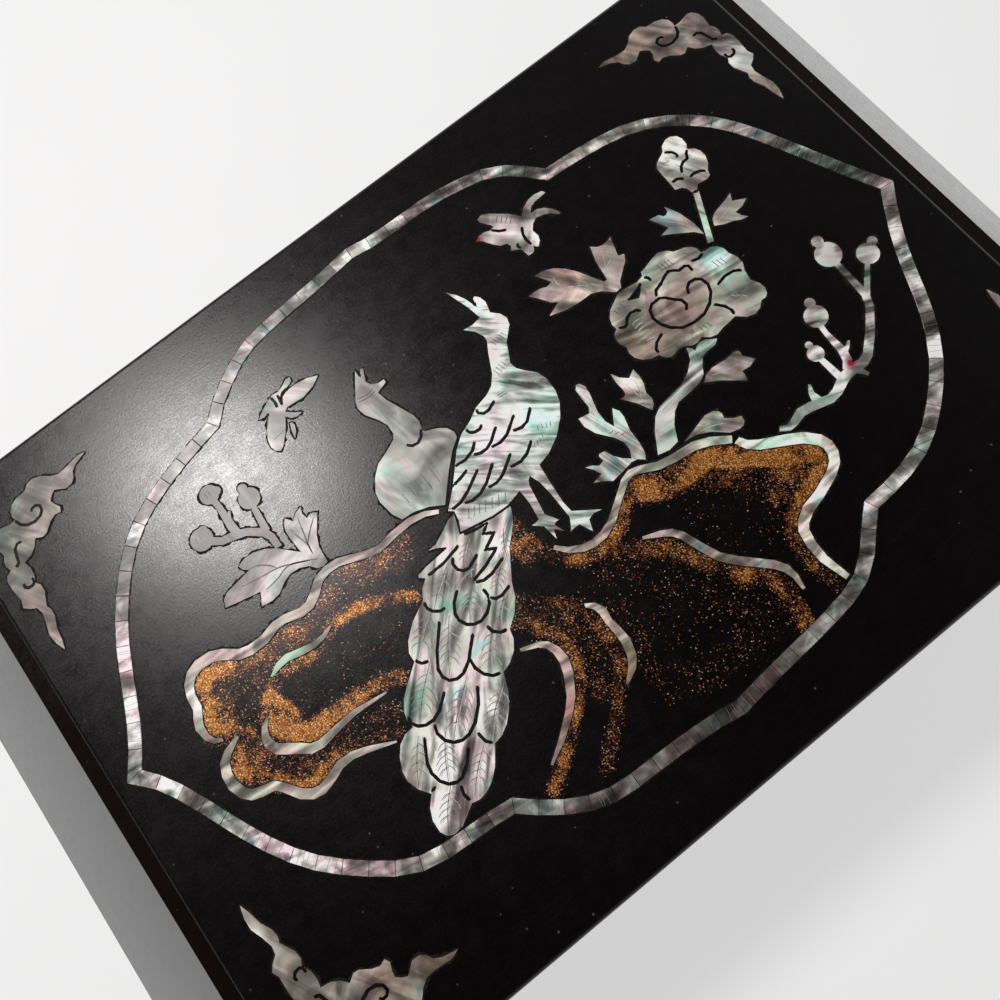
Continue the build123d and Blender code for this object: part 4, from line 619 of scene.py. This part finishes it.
def needle_lines(name, lines, width, material):
    """Thin tapering strips on the shell along lines drawn on the lid in millimetres."""
    verts, faces = [], []
    for line in lines:
        run = smooth_line(line)
        for number, spot in enumerate(run):
            ahead = run[min(number + 1, len(run) - 1)] - run[max(number - 1, 0)]
            side = Vector((-ahead.y, ahead.x, 0)).normalized()
            taper = math.sin(math.pi * (0.12 + 0.8 * number / (len(run) - 1)))
            half = side * (width / 2 * (0.35 + 0.65 * taper))
            for edge in (spot + half, spot - half):
                verts.append((edge.x * mm, edge.y * mm, shell_top + film))
            if number:
                last = len(verts)
                faces.append([last - 4, last - 3, last - 1, last - 2])
    return shown(name, verts, faces, material, "lid")


def side_veins(base, tip, spread, pairs):
    """Side veins of one feather from its root to its tip, bent a little towards the tip."""
    base, tip = Vector(base), Vector(tip)
    way = tip - base
    ahead, across = way.normalized(), Vector((-way.y, way.x)).normalized()
    lines = []
    for pair in range(pairs):
        root = base + way * (0.15 + 0.62 * pair / pairs)
        reach = spread * (0.95 - 0.5 * abs(pair / pairs - 0.4))
        for side in (-1, 1):
            start = root + ahead * (0.06 * (1 - side) * spread)
            end = start + ahead * reach * 0.7 + across * side * reach * 0.72
            middle = (start + end) / 2 + across * side * 0.10 * reach - ahead * 0.05 * reach
            lines.append([tuple(start), tuple(middle), tuple(end)])
    return lines


midribs = [[base, tuple((Vector(base) + Vector(tip)) / 2 + Vector((-0.3, 0.3))), tip]
           for base, tip, _, _ in feathers]
feather_veins = [line for base, tip, spread, pairs in feathers for line in side_veins(base, tip, spread, pairs)]
leaf_veins = [
    [(-60.4, 16.4), (-63.1, 18), (-67.6, 20.2), (-71.2, 21.6), (-75.9, 22.4), (-81.7, 23.6)],
    [(-62.6, 17.6), (-68.1, 20.1), (-72.6, 19.1), (-76.7, 18.6)],
    [(-71.2, 21.9), (-72.6, 23.8), (-74.8, 25.5), (-77.6, 26.4)],
    [(-60.9, 18.6), (-60.6, 21.9), (-61.4, 25.2), (-62, 28.3)],
    [(-60.8, 19), (-60.3, 21.9), (-59.5, 25.2), (-58.4, 29.7)],
    [(-60.3, 21.8), (-58.1, 24.1), (-54.8, 26.8)]]


def dashes(*rows):
    """Rows of short marks: first place, step from mark to mark, stroke, and how many."""
    return [[(x + dx * n, y + dy * n), (x + dx * n + across, y + dy * n + along)]
            for x, y, dx, dy, across, along, count in rows for n in range(count)]


marks = dashes(
    (15.4, 36.2, 1.0, 0.05, 0.7, -2.0, 5), (10.7, 28.8, 1.1, 0.2, 0.5, -2.1, 4),
    (14.0, 21.4, 1.0, -0.8, 1.1, -1.9, 6), (6.8, 22.0, 0.3, -0.8, 2.3, -0.3, 2),
    (6.2, 4.4, 1.1, 0.2, -0.6, -1.0, 4), (10.2, 8.0, 1.1, -0.5, -0.7, -1.2, 4),
    (-14.4, 0.2, 1.9, -0.5, -2.0, -2.6, 4), (-19.4, 1.4, 1.6, -0.4, -1.8, -2.4, 3),
    (-26.4, 17.4, 0.1, 0, -0.1, -4.0, 1), (-23.9, 17.2, 2.9, 0.6, -0.1, -5.4, 2),
    (-31.4, 16.4, 2.6, 0.3, 0.1, -3.4, 2), (-28.0, 12.6, 4.2, 0, 0.1, 1.8, 2),
    (24.0, -6.6, 1.0, -1.2, 1.4, -0.1, 3), (66.9, 23.6, 1.15, -0.2, 0.2, -2.4, 4),
    (75.3, 21.4, 1.1, -0.6, 0.8, -1.6, 3), (63.4, 1.6, 1.3, -0.3, 0.3, -1.8, 3),
    (48.4, 20.6, 1.3, 0.3, 0.5, -1.6, 3), (79.6, 14.4, 1.2, -0.4, 0.4, -2.6, 3),
    (89.6, 47.6, 1.0, -0.4, 0.9, -0.5, 2), (-84.9, 41.4, 1.4, 0.1, 0.1, 1.6, 2),
    (-75.6, 50.4, 1.1, 0.1, 0.1, 2.2, 2), (41.6, 66.2, 1.0, -1.0, -1.6, -1.4, 4),
    (-50.6, 52.6, 0.1, 0, 4.4, 0.5, 1))
marks += [[(-25, 46.9), (-22, 46.2), (-19.4, 46.6)], [(-25.1, 45.9), (-22, 45.3), (-19.2, 45.6)]]
for piece in (needle_lines("feather_veins", feather_veins, 0.22, faint_line),
              needle_lines("feather_midribs", midribs, 0.28, faint_line),
              needle_lines("leaf_veins", leaf_veins, 0.42, engraved),
              needle_lines("needle_marks", marks, 0.34, engraved)):
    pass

# Cracks: the strips of the border are brittle and lie on wood that moves, so hair cracks run across
# them, two or so to a strip.
strip_cracks = []
for number, (first, second, third, fourth) in enumerate(strips):
    for place in range(1 + number % 3):
        share = 0.25 + 0.55 * ((number * 0.618 + place * 0.41) % 1)
        lean = 0.08 * math.sin(number * 2.4 + place)
        ends = first.lerp(second, share), fourth.lerp(third, share + lean)
        strip_cracks.append([tuple(end / mm) for end in ends])
cracks = needle_lines("border_cracks", strip_cracks, 0.15, faint_line)

# Pale cuts: shallower needle work on the feathers, leaves and petals that was left unfilled, so it
# catches the light.
pale_cut = cut_line("pale_cut", (0.26, 0.25, 0.24), (0.74, 0.72, 0.70))
# The pale lines beside every third feather vein and each midrib all lie towards the front right of them:
# painted highlight on the lit wall of the cut.
vein_painted_highlights = [[(x + 0.35, y - 0.3) for x, y in line] for line in feather_veins[::3] + midribs]
petal_cuts = (
    [[(49.6, 13.8), (51, 14.3), (52.5, 14.1)], [(49.4, 12.6), (51, 12.9), (52.6, 12.6)],
     [(49.6, 11.4), (51, 11.6), (52.6, 11.3)], [(49.4, 10.2), (51, 10.3), (52.4, 9.9)],
     [(49.8, 8.9), (51, 8.9), (52.3, 8.5)], [(49.6, 7.6), (50.8, 7.5), (52.2, 7)]]
    + dashes((76.8, 3.0, 1.1, -0.9, 0.9, -1.4, 3), (65.4, 1.0, 1.2, -0.3, 0.3, -1.8, 2),
             (70.2, 23.0, 1.0, -0.4, 0.3, -2.0, 2), (-24.4, 43.4, 0.8, -0.1, 0.5, -1.8, 3)))
leaf_cuts = (
    [[(38.6, 37.4), (45, 33.6), (51.6, 28.8)], [(41.6, 36), (41.4, 38.2), (41.8, 40)],
     [(45.2, 33.4), (42, 33.6), (39, 33)], [(57.6, 37), (55.4, 32.6), (53.6, 28.2)],
     [(55.4, 32.6), (57.6, 33.4), (59.6, 35)], [(82.4, 26), (80.4, 29.6), (77.8, 32.6)],
     [(90, 22.8), (93.6, 23.6), (97, 24)], [(56.6, -11.6), (60.4, -13), (64.2, -13.8)],
     [(42, -21.8), (46.6, -22.6), (51.4, -25)], [(37.6, -6.6), (37.2, -2.6), (36.6, 1.6)],
     [(37.4, -4.6), (38.6, -1.8), (39.4, 1)]])
for piece in (needle_lines("feather_painted_lights", vein_painted_highlights, 0.18, pale_cut),
              needle_lines("petal_cuts", petal_cuts, 0.36, pale_cut),
              needle_lines("leaf_cuts", leaf_cuts, 0.20, pale_cut)):
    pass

# Sunk edges: the lacquer has shrunk away from the shell, which leaves a narrow, dull groove of
# uneven width round every plate.
groove = cut_line("sunk_lacquer", (0.002, 0.0015, 0.0015), (0.016, 0.012, 0.011), 0.15, 900.0, 0.6)


def rim(loop, step):
    """Points a step apart round an outline, each with the way out of the plate."""
    run = []
    for here, there in zip(loop, loop[1:] + loop[:1]):
        count = max(1, int((Vector(there) - Vector(here)).length / step))
        run += [Vector(here).lerp(Vector(there), part / count) for part in range(count)]
    ways = [(run[(number + 1) % len(run)] - run[number - 1]).normalized() for number in range(len(run))]
    return [(place, Vector((way.y, -way.x))) for place, way in zip(run, ways)]


verts, faces = [], []
for name in (name for name in nodes if name.startswith("inlay_")):
    width = 0.28 if name == "inlay_border" else 0.55
    for loop in plate_outlines(name):
        start, run = len(verts), rim(loop, 0.5 * mm)
        for place, out in run:
            spot = place.to_3d() / mm
            uneven = max(0.25, 1 + 1.1 * noise.noise(spot * 0.6) + 0.7 * noise.noise(spot * 1.5))
            near, far = place - out * 0.05 * mm, place + out * (width * mm * uneven)
            verts += [(near.x, near.y, lid_top + 3 * film), (far.x, far.y, lid_top + film)]
        for number in range(len(run)):
            first, second = start + 2 * number, start + 2 * ((number + 1) % len(run))
            faces.append([first, first + 1, second + 1, second])
grooves = shown("sunk_edges", verts, faces, groove, "lid")

# Filled cuts: the saw cuts between feathers, petals and folds are filled level with black lacquer,
# which was rubbed a little over their edges.
cut_fill = cut_line("lacquer_in_cuts", (0.002, 0.0016, 0.0016), (0.008, 0.0065, 0.0065), 0.12)
verts, faces = [], []
for name in ("peacock", "peacock_tail", "peahen", "peony", "peony_bud", "clouds", "bees"):
    runs = [rim(loop, 0.4 * mm) for loop in plate_outlines("inlay_" + name)]
    spots = [spot for run in runs for spot in run]
    found = kdtree.KDTree(len(spots))
    for number, (place, _) in enumerate(spots):
        found.insert(place.to_3d(), number)
    found.balance()
    for run in runs:
        in_cut = [any(spots[number][1].dot(out) < -0.6
                      for _, number, _ in found.find_range((place + out * 0.6 * mm).to_3d(), 0.36 * mm))
                  for place, out in run]
        for number, (place, out) in enumerate(run):
            after = (number + 1) % len(run)
            if not (in_cut[number] and in_cut[after]):
                continue
            first = len(verts)
            for spot, way in ((place, out), run[after]):
                over = 0.17 * mm * (1 + 0.6 * noise.noise(spot.to_3d() / mm * 0.7))
                for edge in (spot - way * over, spot + way * 0.31 * mm):
                    verts.append((edge.x, edge.y, shell_top + 1.5 * film))
            faces.append([first, first + 1, first + 3, first + 2])
filled_cuts = shown("filled_cuts", verts, faces, cut_fill, "lid")

# Gold dust: flakes of gold sprinkled into wet lacquer along the inner side of every rock edge,
# thick beside the shell and thinning out into the black.
brush_strokes = (
    (4.4, 0.95, [(-110, -3.4), (-108, 2), (-106.4, 7.4), (-102, 10.2), (-97.4, 8)]),
    (3.0, 0.6, [(-98, 7.8), (-90, 5.0), (-83, 5.2), (-76, 4.8), (-70, 4.6)]),
    (3.0, 0.5, [(-70, 5), (-63, 8.8), (-57, 9.4), (-52, 7), (-46, 5), (-38, 5.4)]),
    (4.4, 0.8, [(-108, -6), (-105, -3), (-103.6, 2)]), (4.0, 0.8, [(-106, -5.6), (-102.4, -9.6)]),
    (4.0, 0.35, [(-101, 4), (-95, 3.6)]), (7.0, 0.22, [(-101, -4), (-95, 0), (-92, 2)]),
    (4.2, 0.95, [(-106, -9.6), (-108.8, -14), (-108.6, -18), (-105, -21), (-101.6, -25.4)]),
    (3.4, 0.45, [(-103.6, -12), (-101.6, -20)]),
    (3.4, 0.85, [(-101.4, -26.4), (-97, -30), (-92, -30.2), (-87.4, -28.6)]),
    (3.0, 0.5, [(-87.4, -28.8), (-82, -29.6), (-77, -32), (-70, -33.6)]),
    (4.6, 1.15, [(-95, -9.4), (-94.4, -13.4), (-91.6, -17.6), (-87.6, -19.6)]),
    (4.2, 1.0, [(-88, -19.6), (-80, -20.2), (-73, -20.4)]),
    (3.4, 0.75, [(-73, -20.4), (-67, -21), (-61.6, -23)]), (4.4, 1.05, [(-93, -6.6), (-90.6, -14)]),
    (3.2, 0.72, [(-94, -8), (-90.4, -3.8), (-86, -2.4), (-81, -2.6), (-75, -3.6), (-69, -1), (-63, -0.4),
                 (-58, -1.8), (-53, -4), (-48.6, -6.6), (-46, -8.6)]),
    (6.0, 0.45, [(-106, 2), (-98, 3), (-90, 2.4), (-80, 4), (-70, 5), (-60, 7), (-50, 5), (-42, 4)]),
    (6.0, 0.5, [(-103, -14), (-99, -23), (-92, -27)]), (9.0, 0.1, [(-85, -12), (-70, -11), (-56, -13)]),
    (4.0, 0.3, [(-84, -26), (-68, -28.6)]), (4.4, 0.8, [(-17.6, -11.4), (-15, -18)]),
    (3.4, 0.55, [(-13, -9), (-11.8, -18), (-9.2, -23), (-6.4, -27), (-2, -29.4), (3, -30.6)]),
    (3.4, 0.86, [(2, -30.2), (9, -28.4), (14, -25), (19, -22.6), (23, -23), (28, -25.8), (34, -26.8),
                 (40, -28), (45, -31)]),
    (5.0, 0.95, [(20, -24.6), (27, -28), (38, -29.4)]),
    (4.8, 1.45, [(42, -29.6), (49, -35.4), (53, -38.6), (58, -42), (62.4, -45)]),
    (7.5, 0.55, [(38, -33), (47, -40), (56, -46)]),
    (3.8, 1.05, [(63, -44.6), (62.8, -49), (58, -51.2), (52.6, -52.8)]), (6.0, 0.55, [(48, -47), (56, -49)]),
    (3.2, 0.6, [(50, -54), (44.6, -57), (42.6, -62), (42.2, -68)]), (2.8, 0.35, [(42.2, -68), (43, -76)]),
    (16.0, 0.07, [(30, -42), (38, -50)]), (4.0, 0.55, [(0, -29), (5, -32.6), (10.6, -37)]),
    (4.2, 0.6, [(9, -36), (14.6, -40), (18.4, -45), (20, -49)]),
    (3.8, 0.7, [(20, -49), (24, -56), (29, -61.6), (32, -66), (31.6, -72), (30, -78)]),
    (9.0, 0.16, [(0, -35), (8, -44), (14, -54), (24, -66)]),
    (3.2, 0.5, [(-26, -26.4), (-21, -30.4), (-16, -34.4), (-12.6, -38)]),
    (5.0, 0.4, [(-28, -29.6), (-24, -34), (-18, -38)]),
    (3.4, 0.7, [(-25, -36.6), (-21.8, -42), (-21.8, -47), (-25, -53)]),
    (3.0, 0.7, [(-25, -53), (-31, -58.6), (-39, -64.8), (-47, -70)]),
    (3.2, 0.62, [(-12, -42), (-11.8, -48), (-12.8, -54), (-15.4, -58.6)]),
    (3.0, 0.5, [(-15.4, -58.6), (-20, -63), (-26, -68), (-33, -74)]),
    (5.0, 0.28, [(-18.4, -40), (-17.6, -50), (-22, -58)]), (4.0, 0.22, [(-5, -44), (-5, -55), (-9, -63)]),
    (8.0, 0.17, [(-6, -68), (8, -72), (26, -72)]), (12.0, 0.08, [(-4, -38), (2, -52), (10, -62)]))
grid_x, grid_y = np.meshgrid(np.arange(-114, 72, 0.9), np.arange(-79, 14, 0.9))
spots = np.stack([grid_x.ravel(), grid_y.ravel()], 1)
gold = np.zeros(len(spots))
for reach, strength, points in brush_strokes:
    run = np.array([(spot.x, spot.y) for spot in smooth_line(points, 4)])
    nearest = np.full(len(spots), 1e9)
    for start, end in zip(run, run[1:]):
        way = end - start
        share = np.clip(((spots - start) @ way) / (way @ way), 0, 1)
        gap = spots - (start + share[:, None] * way)
        nearest = np.minimum(nearest, np.hypot(gap[:, 0], gap[:, 1]))
    fade = np.clip((1 - nearest / reach) / 0.7, 0, 1)
    gold = np.maximum(gold, strength * fade * fade * (3 - 2 * fade))
uneven = np.array([noise.noise(Vector((x * 0.16, y * 0.16, 3.0)))
                   + 0.6 * noise.noise(Vector((x * 0.5, y * 0.5, 8.0))) for x, y in spots])
gold = np.clip(gold * (1 + 0.9 * uneven), 0, 1.5)
keep = gold > 0.02
rows, columns = grid_x.shape
faces = []
for row in range(rows - 1):
    for column in range(columns - 1):
        corner = row * columns + column
        face = [corner, corner + 1, corner + columns + 1, corner + columns]
        if keep[face].any():
            faces.append(face)
used = sorted({number for face in faces for number in face})
renumber = {number: place for place, number in enumerate(used)}
dusted, tree, shader = finish("gold_dust_in_lacquer", IOR=top_ior)
amount = node(tree, "Attribute", attribute_name="gold").outputs["Fac"]
wear = node(tree, "Group", node_tree=lacquer_wear, Gloss=top_gloss, Scratches=top_scratches, Specks=top_specks)
spot = on_piece(tree)
flake = node(tree, "TexVoronoi", {"Vector": spot}, Scale=3900.0)
parts = node(tree, "SeparateColor", {"Color": flake.outputs["Color"]})
thick = maths(tree, "POWER", amount, 1.5)
lot = maths(tree, "LESS_THAN", parts.outputs[0], maths(tree, "MULTIPLY", thick, 0.95))
red_flake = grade(tree, parts.outputs[1], (0.0, (0.034, 0.007, 0.003)), (0.45, (0.105, 0.023, 0.007)),
                  (0.8, (0.25, 0.068, 0.018)), (0.97, (0.62, 0.36, 0.22)))
gold_flake = grade(tree, parts.outputs[1], (0.0, (0.07, 0.018, 0.003)), (0.45, (0.28, 0.088, 0.009)),
                   (0.8, (0.60, 0.235, 0.032)), (0.97, (0.85, 0.52, 0.24)))
flake_colour = mixed(tree, grade(tree, amount, (0.45, 0.0), (1.0, 1.0)), red_flake, gold_flake)
powder = mixed(tree, grade(tree, amount, (0.45, 0.0), (0.85, 0.18), (1.0, 0.42)), wear.outputs["Colour"],
               (0.105, 0.031, 0.004, 1))
dust_colour = mixed(tree, lot, powder, flake_colour)
# Painted glints: rare pale pinkish-white specks over the dust stand in for flakes catching the lamp.
coarse = node(tree, "TexVoronoi", {"Vector": spot}, Scale=2200.0)
coarse_parts = node(tree, "SeparateColor", {"Color": coarse.outputs["Color"]})
rarity = grade(tree, amount, (0.0, 0.0), (0.15, 0.05), (0.55, 0.17), (1.0, 0.05))
rare = maths(tree, "LESS_THAN", coarse_parts.outputs[0], rarity)
small = maths(tree, "LESS_THAN", coarse.outputs["Distance"], 0.36)
painted_glint = maths(tree, "MULTIPLY", rare, small)
dust_colour = mixed(tree, maths(tree, "MULTIPLY", painted_glint, 0.85), dust_colour,
                    grade(tree, coarse_parts.outputs[1], (0.3, (0.20, 0.07, 0.035)), (0.8, (0.62, 0.50, 0.46))))
feed(tree, shader, Base_Color=dust_colour, Metallic=maths(tree, "MULTIPLY", lot, 0.3),
     Roughness=maths(tree, "MULTIPLY_ADD", lot, 0.12, wear.outputs["Roughness"]))
bump(tree, shader, wear.outputs["Height"], grain_strength, grain_height)
dust_sheet = shown("gold_dust", [(spots[number][0] * mm, spots[number][1] * mm, lid_top + 2 * film)
                                 for number in used],
                   [[renumber[number] for number in face] for face in faces], dusted, "lid", gold=gold[used])

# Tray pads and ring rolls: wadding in velvet. The rolls are long sausages tucked tightly side by
# side, so that a ring's shank is pinched between two of them.
pads("tray_cushions", "tray_pads", "tray", islands("tray_pads"))
round_end, waviness = 3.5 * mm, 0.22 * mm
verts, faces = [], []
for number, (low, high) in enumerate(islands("ring_rolls")):
    middle_y, middle_z = (low[1] + high[1]) / 2, high[2] - (high[1] - low[1]) / 2
    radius, length = (high[1] - low[1]) / 2, high[0] - low[0]
    rings, around = 44, 20
    start = len(verts)
    for ring in range(rings + 1):
        t = ring / rings
        end = min(t, 1 - t) * length
        swell = math.sqrt(max(0.0, 1 - (1 - min(end / round_end, 1.0)) ** 2))
        for step in range(around):
            angle = 2 * math.pi * step / around
            spot = Vector((t * length * 90, number * 3.0 + math.cos(angle), math.sin(angle)))
            size = radius * (0.30 + 0.67 * swell) + noise.noise(spot * 0.7) * waviness
            y, z = middle_y + math.cos(angle) * size, middle_z + math.sin(angle) * size
            verts.append((low[0] + t * length, y, max(z, low[2] + 0.05 * mm)))
    for ring in range(rings):
        for step in range(around):
            here, there = start + ring * around + step, start + ring * around + (step + 1) % around
            faces.append([here, here + around, there + around, there])
    faces.append([start + step for step in range(around)])
    faces.append([start + rings * around + step for step in reversed(range(around))])
rolls = shown("velvet_ring_rolls", verts, faces, pad_velvet, "tray", smooth=True)
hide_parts("ring_rolls")

# Floor and light: a white table and one large soft lamp behind the box on the left, whose
# reflection lies over the lid's far left part.
table_white, tree, shader = finish("white_table")
spot = on_piece(tree)
tooth = mottle(tree, spot, 9.0, 3.0)
feed(tree, shader, Base_Color=grade(tree, tooth, (0.2, (0.90, 0.90, 0.90)), (0.8, (0.93, 0.93, 0.93))),
     Roughness=grade(tree, tooth, (0.2, 0.75), (0.8, 0.85)))
rays = node(tree, "LightPath").outputs
mirrored = maths(tree, "MAXIMUM", rays["Is Glossy Ray"], rays["Is Transmission Ray"])
eye = maths(tree, "MAXIMUM", rays["Is Camera Ray"], mirrored)
glow = node(tree, "Emission", Color=(1.0, 1.0, 1.0, 1), Strength=1.0)
look = node(tree, "MixShader", {0: maths(tree, "MULTIPLY", eye, 0.6)})
tree.links.new(shader.outputs[0], look.inputs[1])
tree.links.new(glow.outputs[0], look.inputs[2])
feed(tree, tree.nodes["Material Output"], Surface=look.outputs[0])
table_mesh = bpy.data.meshes.new("table_top")
table_mesh.from_pydata([(-4, -4, 0), (4, -4, 0), (4, 4, 0), (-4, 4, 0)], [], [[0, 1, 2, 3]])
table_mesh.materials.append(table_white)
table_top = set_down("table_top", table_mesh)

surround = bpy.data.worlds.new("studio")
bpy.context.scene.world = surround
surround.use_nodes = True
tree = surround.node_tree
way = node(tree, "TexCoord").outputs["Generated"]
rise = node(tree, "SeparateXYZ", {"Vector": way}).outputs["Z"]
left_right = node(tree, "SeparateXYZ", {"Vector": way}).outputs["X"]
side_light = grade(tree, maths(tree, "MULTIPLY_ADD", left_right, 0.5, 0.5), (0.0, 0.16), (0.75, 1.0))
height_light = grade(tree, rise, (0.0, 1.0), (0.35, 0.78), (0.62, 0.20), (0.82, 0.08), (0.94, 0.01))
background = tree.nodes["Background"]
feed(tree, background, Color=mixed(tree, 1.0, height_light, side_light, "MULTIPLY"))
background.inputs["Strength"].default_value = 0.9

lamp = bpy.data.lights.new("soft_lamp", "AREA")
lamp.shape, lamp.size, lamp.size_y, lamp.energy = "RECTANGLE", 0.16, 0.14, 7.2
lamp.color = (1.0, 0.965, 0.955)
lamp_stand = set_down("soft_lamp", lamp)
lamp_stand.location = (-0.237, 0.431, 0.94)
lamp_stand.rotation_mode = "QUATERNION"
lamp_stand.rotation_quaternion = (Vector((-0.06, 0.03, 0.13)) - lamp_stand.location).to_track_quat("-Z", "Y")

# Camera: close above the lid and almost straight down, turned so that the box lies cornerwise in
# the picture.
camera = bpy.data.cameras.new("camera")
camera.sensor_width, camera.lens, camera.clip_start, camera.clip_end = 36.0, 27.32, 0.01, 50.0
viewer = set_down("camera", camera)
right, up, back = (0.7836, -0.6167, -0.0748), (0.6176, 0.7603, 0.2013), (-0.0673, -0.2039, 0.9767)
turned = Matrix((right, up, back)).transposed().to_4x4()
viewer.matrix_world = Matrix.Translation((-0.0253, -0.0448, 0.3402)) @ turned
bpy.context.scene.camera = viewer
bpy.context.scene.view_settings.view_transform = "Standard"
